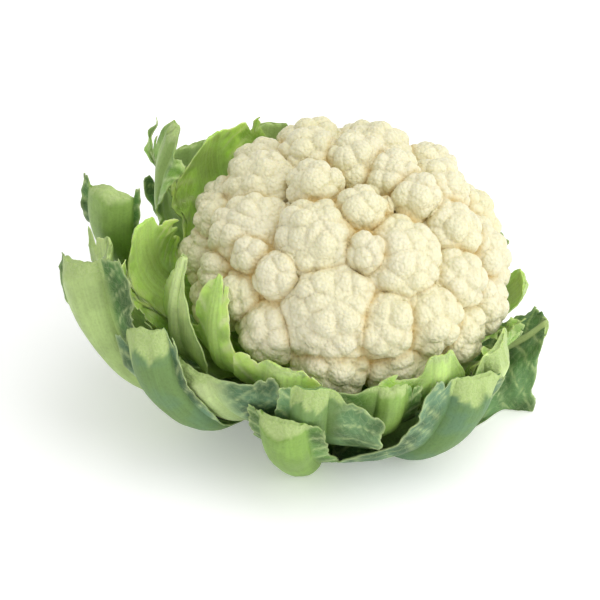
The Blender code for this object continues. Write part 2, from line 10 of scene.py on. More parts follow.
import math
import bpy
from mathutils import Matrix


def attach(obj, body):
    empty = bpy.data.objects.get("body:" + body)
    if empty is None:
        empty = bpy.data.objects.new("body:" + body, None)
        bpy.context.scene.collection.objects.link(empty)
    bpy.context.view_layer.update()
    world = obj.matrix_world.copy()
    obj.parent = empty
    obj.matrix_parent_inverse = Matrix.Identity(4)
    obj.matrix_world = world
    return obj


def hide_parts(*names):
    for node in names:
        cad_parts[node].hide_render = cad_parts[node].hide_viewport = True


bl_info = {
    "name": "Trimmed cauliflower",
    "version": (1, 0, 0),
    "blender": (4, 5, 0),
    "location": "3D View > Sidebar > Cauliflower",
    "description": "Dresses the frame of a trimmed cauliflower with its curd, leaves and stem",
    "category": "Add Mesh",
}

from dataclasses import dataclass

import bmesh
import bpy
import numpy as np
from bpy.props import FloatProperty, FloatVectorProperty, IntProperty, PointerProperty

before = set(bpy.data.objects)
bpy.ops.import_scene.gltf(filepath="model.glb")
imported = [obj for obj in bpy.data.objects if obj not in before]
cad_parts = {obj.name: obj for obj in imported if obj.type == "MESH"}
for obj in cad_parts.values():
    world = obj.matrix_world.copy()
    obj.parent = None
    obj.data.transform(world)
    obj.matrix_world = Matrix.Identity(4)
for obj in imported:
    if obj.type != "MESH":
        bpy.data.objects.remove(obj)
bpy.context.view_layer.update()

MM = 0.001

# The plant's lean and the frame's rules, in mm and degrees
LEAN_RIGHT = 8.36
LEAN_FRONT = 12.6
GAP = 0.4
STEM_RADIUS = 21.0
STEM_TOP_HEIGHT = 45.0
CURD_RADIUS = 82.0
CURD_DOME_HEIGHT = 68.0
CURD_UNDER_DEPTH = 34.0
CURD_RIM_HEIGHT = 72.0
CURD_CORE_SHARE = 0.8
CURD_UNDERSIDE_SLOPE = 0.3
CURD_POINTS = 5000
FLORET_SWELL = 0.92
FLORET_PRESS = 1.13
CLUMP_SINK = 0.9
CLUMP_SWELL = 1.22
CLUMP_LARGEST_SHARE = 0.62
CLUMP_SPACING = 12.0
CLUMP_RADIUS = (5.5, 7.4)
CLUMP_RISE = (1.8, 3.6)
CLUMP_JITTER = 0.12
CLUMP_LEAST_FACING = -0.35
FEWEST_CLUMPS = 8
CURD_SEED = 11

# The florets that fill the gaps
FILLER_POINTS = 420
FILLER_RADIUS = (4.5, 7.5)
FILLER_LEAST_LATITUDE = -12.0
FILLER_RISE = 1.5

# The branches inside: a ribbed cone over the stem, closed by a dome under the florets
CORE_DOME_HEIGHT = 48.0
CORE_SIDES = 144
CORE_LEVELS = 30
CORE_DOME_LEVELS = 12
CORE_DOME_SPAN = (0.12, 0.48)
CORE_RIM_INSET = 3.0
CORE_FOOT_INSET = 1.5
CORE_FOOT_LIFT = 1.2
CORE_BRANCHES = 13
CORE_BRANCH_DEPTH = 1.6

# The skin over the spheres, and how densely and how far apart its bumps lie, in spacings
SKIN_THRESHOLD = 0.2
BUMP_DENSITY = 4.0
BUMP_LEAST_APART = 0.82
BUMP_REACH = 0.66

# What the skin's hollows are called, over how many rounds they are smoothed, and how deep a full one is in m:
# masks for the painted shade in the curd's hollows
HOLLOWS = (("crease", 10, 0.0007), ("valley", 260, 0.0042))

# How wide the creases between florets and between clumps are in mm, and how much painted shade they add to
# the hollows
FLORET_CREASE_AND_SHADE = (1.0, 0.5)
CLUMP_CREASE_AND_SHADE = (0.7, 0.1)

# Floret centres on the dome: (azimuth, latitude, radius)
FLORETS = (
    (194, 37, 24), (162, 44, 23), (176, 22, 14), (178, 71, 15), (231, 60, 24), (130, 58, 19),
    (100, 72, 18), (259, 78, 14), (40, 74, 17), (2, 70, 15), (298, 57, 24), (272, 60, 12),
    (227, 38, 14), (211, 36, 12), (203, 17, 14), (218, 20, 15), (257, 31, 31), (282, 30, 20),
    (303, 28, 21), (327, 37, 18), (350, 50, 19), (235, 12, 20), (356, 30, 20), (25, 55, 20),
    (318, 12, 18), (340, 10, 19), (182, 2, 19), (205, -4, 17), (262, 4, 22), (290, 3, 20),
    (20, 26, 22), (48, 35, 23), (78, 48, 22), (85, 22, 22), (112, 34, 23), (140, 28, 21),
    (5, 4, 19), (35, 4, 20), (62, 8, 21), (100, 2, 20), (128, 4, 20), (156, 6, 20),
)
CROWN_LATITUDE = 55.0
CURD_SECTORS = {
    "florets_right": (324, 396),
    "florets_back_right": (36, 108),
    "florets_back_left": (108, 180),
    "florets_front_left": (180, 252),
    "florets_front": (252, 324),
}

# The frame's leaf rules
FRAME_ROWS = 11
RIB_SHARE = 0.5
RIB_BULGE = 0.18
RIB_ROUNDNESS = 0.75
CHANNEL_DEPTH = 0.12
TWIST_SPAN = (0.35, 0.9)
SLANT_SPAN = (0.6, 1.0)
FRAME_BLADE_THICKNESS = 1.4
BLADE_LEAST_WIDTH = 1.0
BLADE_GROWTH = 0.3
BLADE_OPENING = (0.45, 0.8)
END_WIDTH_SPAN = (0.6, 1.0)
TEARS = ((0.10, 23.0, 1.0), (0.07, 41.0, 2.0))
TIP_FROM = 0.55
TIP_ROUNDNESS = 0.95
TIP_LEAST_RIB = 0.8
SECTION_SAMPLES = 61
FOOT_HEIGHT = 0.3

# The finer leaf: its grid, then its edges, relief, veins, cut end and map, in mm and shares
LEAF_ROWS = 92
RIB_COLUMNS = 9
BLADE_COLUMNS = 20
CUT_SHARES = (0.1, 0.3, 0.5, 0.7, 0.9)
MATCH_TOLERANCE = 0.02
TOOTH_WAVES = 110.0
EDGE_NOTCHES = (9, 0.02)
EDGE_NOTCH_SHARE = 0.45
EDGE_NOTCH_DEEPEST = 7.0
TOP_NOTCHES = (8, 1.1, 0.03)
NOTCH_SHARES = (0.25, 1.0)
NOTCH_WIDTHS = (0.4, 1.6)
NOTCH_STEEP_SIDE = 0.45
LEAST_LENGTH = 0.3
SKIRT_SPAN = (0.2, 0.42)
BLADE_SPAN = (RIB_SHARE * 0.94, RIB_SHARE + 0.18)
TORN_SPAN = (0.52, 0.7)
RUFFLE_SPAN = (0.55, 1.0)
RUFFLE_WAVES = (3.2, 6.0)
FRILL_SPAN = (0.62, 1.0)
FRILL_SWING = 0.45
FRILL_WAVE = 1.5
RIB_RIDGES = 0.15
RIB_WAVES = 0.5
VEIN_LEAN = 0.75
VEIN_BEND = 0.006
VEIN_WOBBLE = 1.4
SMALL_VEIN_SPACING = 0.62
SMALL_VEIN_WIDTH = 0.38
SMALL_VEIN_SHARE = 0.45
SHAVED_DEPTH = 0.62
EDGE_WIDTH = 0.7
RIM_ROUNDING = 0.5
CUT_DISH = 0.07
CUT_UNEVENNESS = 0.3
THICK_ENOUGH_TO_CUT = 2.0
INNER_UV_SHIFT = 40.0
UV_SIZE = 10.0
SHARP_ANGLE = 52

# How rough each kind of leaf is and how much light goes into it
LEAF_FINISHES = {"young": (0.40, 0.6), "middle": (0.42, 0.35), "outer": (0.44, 0.15)}

# The least and the most that a pattern makes of what it lies on
WAX_PATCHES = (0.55, 1.0)
BLADE_CLOUDS = (0.78, 1.18)
RIB_STREAKS = (0.94, 1.04)
RIB_SPECKS = (0.93, 1.02)
SKIN_CLOUDS = (0.84, 1.08)

# How much of another colour comes in, at the most
PALE_IN_FRESH = 0.3
PALE_IN_NET = 0.14
PALE_IN_VEIN = 0.6
PALE_IN_EDGE = 0.4
FRESH_IN_RIB = 0.55
WAXED_BELOW_PALE = 0.9
RIB_IN_CUT = 0.2
# Painted shade between the curd's grains
PAINTED_SHADE_IN_GRAIN = 0.22
# The fine creases' share of the painted shade in the curd's hollows
CREASE_IN_PAINTED_SHADE = 0.35
CLOUD_SHARE = 0.6
SPECK_IN_BUTT = 0.35
RING_IN_BUTT = 0.5

# How much rougher wax and a cut are, and how fine the curd's grain is
WAX_ROUGHNESS = 0.16
CUT_ROUGHNESS = 0.12
GRAIN_SCALE = 620.0

# Colours that only shade another one; the grain colour among them is painted shade between the curd's grains
CREAM = (0.76, 0.73, 0.47)
PAINTED_GRAIN_SHADE = (0.66, 0.63, 0.34)
STEM_CLOUD = (0.62, 0.68, 0.42)
BUTT_RING = (0.45, 0.47, 0.24)
BUTT_SPECK = (0.40, 0.34, 0.18)

# In m: the ring on the butt, the heights where the butt passes into skin and the stalks into the hollows'
# painted shade
BUTT_RING_RADIUS = 0.0150
BUTT_RING_WIDTH = 0.0018
BUTT_HEIGHT = (0.0002, 0.0012)
STALK_SHADE_HEIGHT = (0.075, 0.095)

# The stage, in m and W: each light's name, place, size and power
LIGHTS = (
    ("key_light", (0.35, 0.0, 1.15), 1.0, 4.0),
    ("side_light", (0.9, -0.5, 0.6), 1.1, 5.5),
)
LIGHT_TARGET = (0.0, 0.0, 0.06)
CAMERA_TARGET = (-0.0119, 0.0, 0.040)
SENSOR_WIDTH = 36.0
FLOOR_HALF_SIDE = 4.0
FLOOR_GLOW = 0.22
WORLD_LIGHT = 0.76


@dataclass
class Blade:
    """One side of a leaf beyond its rib, as in the frame."""

    start: float = 0.3
    width: float = 10.0
    end_width: float = 8.0
    curl: float = 0.0
    fold_at: float = 0.5
    fold_span: float = 0.9
    droop: float = 0.0
    ripple: float = 1.0


@dataclass
class Leaf:
    """A leaf, as in the frame, and its own looks: how waxy and how yellow it is, how far its blades are torn
    back (below 0, how far its rib is cut below them), how much its edges ruffle, how far a frill reaches
    beyond them, how much wider its foot is and where that fades, how far a rib's colour reaches, how much of
    its back is shaved off by the cut, and how pale it is."""

    name: str
    rib_line: tuple
    half_width: tuple = (9.0, 9.0)
    thickness: tuple = (8.5, 7.5)
    clockwise: Blade = None
    anticlockwise: Blade = None
    slant: float = 0.0
    twist: float = 0.0
    waves: float = 2.5
    phase: float = 0.0
    round_tip: bool = False
    blade_steps: int = 2
    tone: str = "outer"
    wax: float = 0.5
    fresh: float = 0.0
    tear: float = 0.08
    ruffle: float = 0.5
    frill: float = 0.0
    skirt: float = 0.0
    skirt_fade: tuple = (0.5, 0.75)
    core: float = 1.0
    shave: float = 0.04
    pale: float = 0.5


LEAVES = (
    Leaf("leaf_young_front_left",
         ((22, 216, 41), (58, 222, 45), (80, 224, 62), (84, 221, 84), (75, 214, 104)),
         half_width=(4.5, 3), thickness=(4.5, 2), clockwise=Blade(0.35, 9, 8),
         anticlockwise=Blade(0.35, 8, 8), round_tip=True, tone="young",
         wax=0.05, fresh=1.0, pale=1.0, tear=0.05, ruffle=0.3, skirt=22.0, shave=0.0),
    Leaf("leaf_young_front", ((22, 256, 41), (56, 254, 44), (79, 251, 60), (84, 249, 74), (83, 248, 87)),
         half_width=(7, 8), thickness=(4.5, 4.5), clockwise=Blade(0.3, 16, 14),
         anticlockwise=Blade(0.3, 10, 8), phase=0.4, tone="young",
         wax=0.05, fresh=1.0, pale=1.0, tear=0.05, ruffle=0.3, shave=0.03),
    Leaf("leaf_crinkled_front", ((22, 300, 41), (56, 300, 44), (80, 299, 62), (84, 298, 80), (79, 298, 97)),
         half_width=(6, 4), thickness=(4.5, 2.5), clockwise=Blade(0.3, 20, 14, ripple=2.5),
         anticlockwise=Blade(0.3, 18, 14, ripple=2.5), waves=4.0, phase=1.6, tone="young",
         wax=0.05, fresh=0.65, pale=0.7, tear=0.2, ruffle=1.4, frill=8.0),
    Leaf("leaf_young_right", ((22, 5, 41), (58, 5, 44), (81, 4, 56), (86, 3, 66), (86, 2, 73)),
         half_width=(7, 6), thickness=(4.5, 4), clockwise=Blade(0.3, 18, 16),
         anticlockwise=Blade(0.3, 18, 14), phase=0.9, tone="young",
         wax=0.1, fresh=0.6, pale=0.7, tear=0.36, ruffle=0.7),
    Leaf("leaf_young_back", ((22, 78, 41), (58, 78, 44), (82, 79, 58), (88, 80, 70), (88, 81, 78)),
         half_width=(7, 6), thickness=(4.5, 4), clockwise=Blade(0.3, 26, 22, ripple=2),
         anticlockwise=Blade(0.3, 26, 22, ripple=2), phase=2.7, tone="young",
         wax=0.1, fresh=0.6, pale=0.7, tear=0.12, ruffle=0.8),
    Leaf("leaf_young_back_left", ((22, 140, 41), (58, 140, 44), (82, 140, 60), (89, 141, 80), (87, 142, 99)),
         half_width=(7, 5), thickness=(4.5, 3), clockwise=Blade(0.3, 32, 24, ripple=1.5),
         anticlockwise=Blade(0.3, 26, 22, ripple=1.5), phase=1.0, tone="young",
         wax=0.05, fresh=1.0, pale=0.9, tear=0.12, ruffle=0.7),
    Leaf("leaf_young_left", ((22, 180, 41), (58, 182, 44), (85, 186, 57), (96, 188, 78), (100, 188, 102)),
         half_width=(7.5, 6), thickness=(4.5, 4), clockwise=Blade(0.3, 16, 14, ripple=1.5),
         anticlockwise=Blade(0.3, 18, 12, ripple=1.5), twist=-42, phase=2.0, tone="young",
         wax=0.0, fresh=1.0, pale=0.8, tear=0.2, ruffle=1.0, frill=1.5),
    Leaf("leaf_pointed_left", ((22, 206, 34), (58, 208, 38), (85, 210, 54), (91, 208, 80), (87, 205, 109)),
         half_width=(8, 1.5), thickness=(7, 3), clockwise=Blade(0.4, 6, 0.2),
         anticlockwise=Blade(0.4, 8, 0.2), tone="middle",
         wax=0.1, fresh=0.2, pale=1.0, tear=0.02, ruffle=0.2, shave=0.0, skirt=12.0,
         skirt_fade=(0.5, 1.0), core=1.7),
    Leaf("leaf_long_back_left",
         ((22, 160, 34), (60, 158, 37), (92, 154, 56), (101, 150, 80), (100, 147, 102)),
         half_width=(8, 6.5), thickness=(7, 7), clockwise=Blade(0.5, 12, 12, ripple=2.5),
         anticlockwise=Blade(0.5, 9, 8, ripple=2), twist=65, waves=4.0, phase=0.7, tone="middle",
         wax=0.1, fresh=0.35, pale=0.3, tear=0.14, ruffle=1.2, frill=2.5),
    Leaf("leaf_dark_front", ((22, 285, 34), (56, 284, 38), (79, 283, 53), (84.5, 282, 72), (84, 281, 89)),
         half_width=(7, 6), thickness=(6, 6), clockwise=Blade(0.3, 30, 28, ripple=1.5),
         anticlockwise=Blade(0.4, 7, 6),
         wax=0.15, fresh=0.1, pale=0.1, tear=0.06, ruffle=0.3),
    Leaf("leaf_angled_right", ((22, 332, 34), (56, 330, 38), (79, 326, 54), (84, 322, 72), (83, 320, 90)),
         half_width=(7, 9), thickness=(6.5, 9), clockwise=Blade(0.35, 12, 6, ripple=2),
         anticlockwise=Blade(0.4, 9, 5), tone="middle",
         wax=0.15, fresh=0.3, pale=1.0, tear=0.14, ruffle=1.4, frill=9.0, shave=0.14),
    Leaf("leaf_low_back_right", ((22, 40, 33), (58, 40, 35), (84, 40, 45), (92, 40, 56), (93, 40, 67)),
         half_width=(8, 8), thickness=(7, 7), clockwise=Blade(0.3, 15, 12, ripple=2),
         anticlockwise=Blade(0.3, 20, 16, ripple=2), phase=0.3,
         wax=0.4, fresh=0.1, tear=0.14, ruffle=0.7),
    Leaf("leaf_wide_back", ((22, 108, 33), (58, 110, 36), (86, 113, 50), (95, 114, 64), (97, 114, 78)),
         half_width=(8.5, 9), thickness=(7, 7), clockwise=Blade(0.3, 22, 18, ripple=2.5),
         anticlockwise=Blade(0.3, 22, 18, ripple=2.5), phase=1.9,
         fresh=0.1, pale=0.4, tear=0.16, ruffle=0.8),
    Leaf("leaf_stub_left", ((22, 186, 25), (60, 189, 28), (95, 191, 46), (107, 190, 68), (110, 188, 88)),
         half_width=(8, 6), thickness=(7, 6), clockwise=Blade(0.45, 8, 5),
         anticlockwise=Blade(0.4, 14, 10), twist=45, slant=-0.5, tone="middle",
         wax=0.1, fresh=0.25, pale=1.0, ruffle=0.4, shave=0.06, skirt=5.0,
         skirt_fade=(1.0, 1.5), core=1.7),
    Leaf("leaf_upright_left", ((22, 150, 25), (60, 160, 28), (99, 172, 46), (112, 177, 76), (115, 177, 108)),
         half_width=(8, 11), thickness=(7.5, 9), clockwise=Blade(0.4, 4, 3),
         anticlockwise=Blade(0.4, 4, 3), twist=68, slant=0.1, phase=0.5,
         wax=0.1, pale=0.15, tear=-0.03, ruffle=0.4),
    Leaf("leaf_cup_front_left", ((22, 234, 25), (57, 233, 30), (85, 230, 44), (94, 226, 57), (97, 223, 69)),
         half_width=(8.5, 11), thickness=(7, 8), clockwise=Blade(0.4, 5, 4),
         anticlockwise=Blade(0.25, 34, 30, curl=-25, fold_at=0.2, fold_span=0.4, ripple=2), blade_steps=3,
         wax=0.85, pale=0.8, tear=0.04, ruffle=0.2, shave=0.05, skirt=10.0),
    Leaf("leaf_folded_front", ((22, 262, 25), (56, 261, 30), (80, 260, 46), (88, 259, 66), (87, 258, 88)),
         half_width=(7, 7), thickness=(6, 5), clockwise=Blade(0.4, 6, 5),
         anticlockwise=Blade(0.4, 26, 24, curl=40, fold_at=0.3, droop=0.5, ripple=2), blade_steps=3,
         tone="middle",
         wax=0.7, fresh=0.05, pale=0.1, tear=0.05, ruffle=0.25, shave=0.1),
    Leaf("leaf_cut_right", ((22, 350, 25), (56, 350, 28), (82, 350, 41), (92, 351, 52), (99, 352, 63)),
         half_width=(7, 8), thickness=(7, 8),
         clockwise=Blade(0.3, 38, 34, curl=88, fold_at=0.15, fold_span=0.5, droop=0.93, ripple=3),
         anticlockwise=Blade(0.4, 8, 6), blade_steps=4,
         wax=1.0, fresh=0.05, pale=0.9, tear=0.06, shave=0.1, core=0.22),
    Leaf("leaf_outer_back", ((22, 66, 20), (60, 68, 22), (92, 70, 34), (101, 72, 50), (103, 73, 64)),
         half_width=(8.5, 10), thickness=(8, 9), clockwise=Blade(0.35, 16, 14, ripple=2.5),
         anticlockwise=Blade(0.35, 20, 16, ripple=2.5), phase=3.1,
         wax=0.6, pale=0.4, tear=0.12, ruffle=0.6, shave=0.12),
    Leaf("leaf_outer_back_left",
         ((22, 124, 10), (60, 128, 12), (96, 132, 28), (108, 134, 48), (110, 134, 66)),
         half_width=(8.5, 10), thickness=(8, 9), clockwise=Blade(0.35, 22, 18, ripple=2.5),
         anticlockwise=Blade(0.35, 16, 14, ripple=2.5), phase=0.2,
         tear=0.12, ruffle=0.6, shave=0.08),
    Leaf("leaf_far_left", ((22, 196, 7), (60, 207, 11), (98, 205, 32), (119, 198, 58), (128, 190, 87)),
         half_width=(8, 12), thickness=(7, 11), clockwise=Blade(0.5, 8, 5),
         anticlockwise=Blade(0.4, 18, 16, ripple=2.5), twist=38, phase=0.8,
         wax=0.1, tear=-0.01, ruffle=0.7, shave=0.06, skirt=12.0),
    Leaf("leaf_cut_front_left",
         ((22, 216, 17), (58, 225, 22), (91, 226, 38), (104, 219, 58), (108, 211, 82)),
         half_width=(8, 10), thickness=(7.5, 10), clockwise=Blade(0.5, 6, 5, ripple=2),
         anticlockwise=Blade(0.4, 5, 3), twist=25,
         wax=1.0, pale=0.1, ruffle=0.3, shave=0.1),
    Leaf("leaf_upright_front", ((22, 260, 16.5), (50, 260, 21), (70, 258, 29), (82, 255, 48), (87, 252, 74)),
         half_width=(8, 9), thickness=(8, 10), clockwise=Blade(0.45, 6, 5),
         anticlockwise=Blade(0.45, 7, 6),
         wax=0.1, fresh=0.1, pale=0.05, tear=0.04, ruffle=0.3, shave=0.06, skirt=7.0),
    Leaf("leaf_swept_front", ((22, 307, 16.5), (50, 301, 22), (76, 298, 31), (88, 302, 48), (90, 306, 66),
                              (87, 310, 84)),
         half_width=(8, 12), thickness=(8, 11), clockwise=Blade(0.25, 18, 12, ripple=2),
         anticlockwise=Blade(0.5, 6, 5), phase=1.2,
         wax=1.0, pale=0.0, tear=0.06, ruffle=0.35, shave=0.1, skirt=10.0),
)


# Sizes and colours that a user may change


def length(name, description, default):
    return FloatProperty(name=name, description=description, default=default, unit="LENGTH", precision=5)


def colour(name, description, default):
    return FloatVectorProperty(
        name=name, description=description, default=default, size=3, min=0.0, max=1.0, subtype="COLOR")


class CurdSettings(bpy.types.PropertyGroup):
    mesh_step: length("Mesh step", "Edge length of the curd's skin", 0.00063)
    bump_spacing: length("Bump spacing", "Distance between the round bumps on a clump", 0.0062)
    bump_height: length("Bump height", "Depth of the creases between the bumps", 0.0005)
    grain_spacing: length("Grain spacing", "Distance between the grains on a bump", 0.0020)
    grain_height: length("Grain height", "Depth of the creases between the grains", 0.0003)
    floret_crease: length("Floret crease", "How deep the skin sinks where two florets meet", 0.0018)
    clump_crease: length("Clump crease", "How deep the skin sinks where two clumps meet", 0.0009)
    seed: IntProperty(name="Seed", description="Changes where the bumps and grains lie", default=4)
    flesh: colour("Flesh", "Colour of the open surface of the florets", (0.77, 0.735, 0.535))
    # Hollows: partly the curd's own ochre between the florets, partly painted shade there
    hollow: colour("Hollows", "Colour down between the florets", (0.63, 0.46, 0.17))
    stalk: colour("Stalks", "Colour of the branches under the florets", (0.55, 0.62, 0.28))


class LeafSettings(bpy.types.PropertyGroup):
    blade_thickness: length("Blade thickness", "Thickness of a blade away from the rib", 0.0006)
    vein_spacing: length("Vein spacing", "Distance between side veins along a leaf", 0.0105)
    vein_relief: length("Vein relief", "How far side veins stand out of the back of a blade", 0.0004)
    pucker: length("Pucker", "How far a blade swells between its side veins", 0.0004)
    tooth: length("Tooth", "Depth of the small teeth along a blade's edge", 0.0005)
    blade: colour("Blade", "Colour of a blade", (0.065, 0.165, 0.030))
    waxy: colour("Waxy blade", "Colour of a blade where its wax is thick", (0.110, 0.205, 0.118))
    fresh: colour("Fresh blade", "Colour of a tender, yellow-green blade", (0.42, 0.70, 0.09))
    rib: colour("Rib", "Colour of a rib on the back of a leaf", (0.215, 0.370, 0.055))
    pale: colour("Pale rib", "Colour of a blanched rib and of the veins", (0.67, 0.79, 0.37))
    cut: colour("Cut", "Colour of a cut end", (0.44, 0.56, 0.22))


class StemSettings(bpy.types.PropertyGroup):
    skin: colour("Skin", "Colour of the stem's skin", (0.50, 0.58, 0.30))
    butt: colour("Butt", "Colour of the cut butt", (0.66, 0.64, 0.44))


class StageSettings(bpy.types.PropertyGroup):
    elevation: FloatProperty(
        name="Elevation", description="Angle of the camera above the floor", default=math.radians(35.0),
        subtype="ANGLE")
    distance: length("Distance", "From the camera to the point that it looks at", 0.90)
    lens: FloatProperty(name="Lens", description="Focal length in mm", default=109.08)
    floor: colour("Floor", "Colour of the floor", (0.93, 0.93, 0.93))


# Building blocks for node trees


def add_node(tree, kind, sockets=None, **settings):
    """A node with its settings made and its inputs linked or filled in."""
    node = tree.nodes.new(kind)
    for key, value in settings.items():
        setattr(node, key, value)
    for key, value in (sockets or {}).items():
        if isinstance(value, bpy.types.NodeSocket):
            tree.links.new(value, node.inputs[key])
        else:
            node.inputs[key].default_value = value
    return node


def set_inputs(node, **values):
    """Sets a node's own inputs by name."""
    for key, value in values.items():
        node.inputs[key.replace("_", " ")].default_value = value


def live(sockets, name):
    """The socket of that name that the node's settings leave in use."""
    return next(socket for socket in sockets if socket.name == name and socket.enabled)


def calc(tree, operation, first, second=0.0, third=0.0, clamp=False):
    sockets = {0: first, 1: second, 2: third}
    return add_node(tree, "ShaderNodeMath", sockets, operation=operation, use_clamp=clamp).outputs[0]


def spread(tree, value, low, high, to_low=0.0, to_high=1.0):
    """A value smoothly remapped from one range to another, and held at its ends."""
    sockets = {"Value": value, "From Min": low, "From Max": high, "To Min": to_low, "To Max": to_high}
    return add_node(tree, "ShaderNodeMapRange", sockets, interpolation_type="SMOOTHSTEP").outputs[0]


def blend_colours(tree, factor, first, second, kind="MIX"):
    sockets = {0: factor, 6: first, 7: second}
    return add_node(tree, "ShaderNodeMix", sockets, data_type="RGBA", blend_type=kind).outputs[2]


def rgba(value):
    return (*value, 1.0)


def shaded(tree, base, factor):
    """A colour made lighter or darker by a factor that changes over the surface."""
    return blend_colours(tree, 1.0, base, factor, "MULTIPLY")


def clouded(tree, mottle, first, second):
    """A colour with soft clouds of another one in it."""
    clouds = spread(tree, mottle.outputs["Clouds"], 0.0, 1.0, 0.0, CLOUD_SHARE)
    return blend_colours(tree, clouds, rgba(first), rgba(second))


def own_place(tree):
    """The point's place in the piece's own coordinates."""
    return add_node(tree, "ShaderNodeTexCoord").outputs["Object"]


def new_group(name, kind, inputs, outputs):
    """An empty node group with its sockets, and its input and output nodes."""
    group = bpy.data.node_groups.new(name, kind)
    for label, socket_type, default in inputs:
        socket = group.interface.new_socket(label, in_out="INPUT", socket_type=socket_type)
        if default is not None:
            socket.default_value = default
    for label, socket_type in outputs:
        group.interface.new_socket(label, in_out="OUTPUT", socket_type=socket_type)
    return group, group.nodes.new("NodeGroupInput"), group.nodes.new("NodeGroupOutput")


def placed_group(tree, group, **values):
    """A group node in a tree, with its inputs filled in by name."""
    kind = "ShaderNodeGroup" if tree.bl_idname == "ShaderNodeTree" else "GeometryNodeGroup"
    sockets = {key.replace("_", " "): value for key, value in values.items()}
    return add_node(tree, kind, sockets, node_tree=group)


def new_material(name, roughness):
    made = bpy.data.materials.new(name)
    made.use_nodes = True
    shader = made.node_tree.nodes["Principled BSDF"]
    set_inputs(shader, Roughness=roughness, Metallic=0.0)
    return made, made.node_tree, shader


def attribute(tree, name):
    return add_node(tree, "ShaderNodeAttribute", attribute_name=name).outputs["Fac"]


def bump(tree, shader, height, distance, strength):
    """Gives a finish its fine relief."""
    node = add_node(tree, "ShaderNodeBump", {"Strength": strength, "Distance": distance, "Height": height})
    tree.links.new(node.outputs[0], shader.inputs["Normal"])


# Finishes


def mottle_group():
    """Cloudy variation over a piece: a soft mask and a fine one, both from 0 to 1."""
    if "plant_mottle" in bpy.data.node_groups:
        return bpy.data.node_groups["plant_mottle"]
    group, entry, result = new_group(
        "plant_mottle", "ShaderNodeTree",
        [("Cloud Size", "NodeSocketFloat", 0.02), ("Speck Size", "NodeSocketFloat", 0.0015)],
        [("Clouds", "NodeSocketFloat"), ("Specks", "NodeSocketFloat")])
    spot = own_place(group)
    for size, detail, output in (("Cloud Size", 3.0, "Clouds"), ("Speck Size", 2.0, "Specks")):
        scale = calc(group, "DIVIDE", 1.0, entry.outputs[size])
        noise = add_node(group, "ShaderNodeTexNoise", {"Vector": spot, "Scale": scale, "Detail": detail})
        group.links.new(spread(group, noise.outputs["Fac"], 0.3, 0.7), result.inputs[output])
    return group


def leaf_pattern_group():
    """The fine net of veins and the streaks along a rib, in the leaf's own UV map."""
    if "leaf_pattern" in bpy.data.node_groups:
        return bpy.data.node_groups["leaf_pattern"]
    group, entry, result = new_group(
        "leaf_pattern", "ShaderNodeTree",
        [("Net Size", "NodeSocketFloat", 0.45), ("Net Width", "NodeSocketFloat", 0.09)],
        [("Net", "NodeSocketFloat"), ("Streaks", "NodeSocketFloat")])
    spot = add_node(group, "ShaderNodeUVMap", uv_map="leaf").outputs["UV"]
    warp = add_node(group, "ShaderNodeTexNoise", {"Vector": spot, "Scale": 1.3, "Detail": 2.0})
    bent = add_node(group, "ShaderNodeVectorMath", {0: warp.outputs["Color"], 1: (0.6, 0.6, 0.0), 2: spot},
                    operation="MULTIPLY_ADD")
    scale = calc(group, "DIVIDE", 1.0, entry.outputs["Net Size"])
    net = add_node(group, "ShaderNodeTexVoronoi", {"Vector": bent.outputs[0], "Scale": scale},
                   feature="DISTANCE_TO_EDGE", voronoi_dimensions="2D")
    line = spread(group, net.outputs["Distance"], 0.0, entry.outputs["Net Width"], 1.0, 0.0)
    group.links.new(line, result.inputs["Net"])
    drawn = add_node(group, "ShaderNodeMapping", {"Vector": spot, "Scale": (9.0, 0.35, 1.0)})
    streak = add_node(group, "ShaderNodeTexNoise", {"Vector": drawn.outputs[0], "Scale": 1.0, "Detail": 3.0})
    group.links.new(spread(group, streak.outputs["Fac"], 0.3, 0.7), result.inputs["Streaks"])
    return group


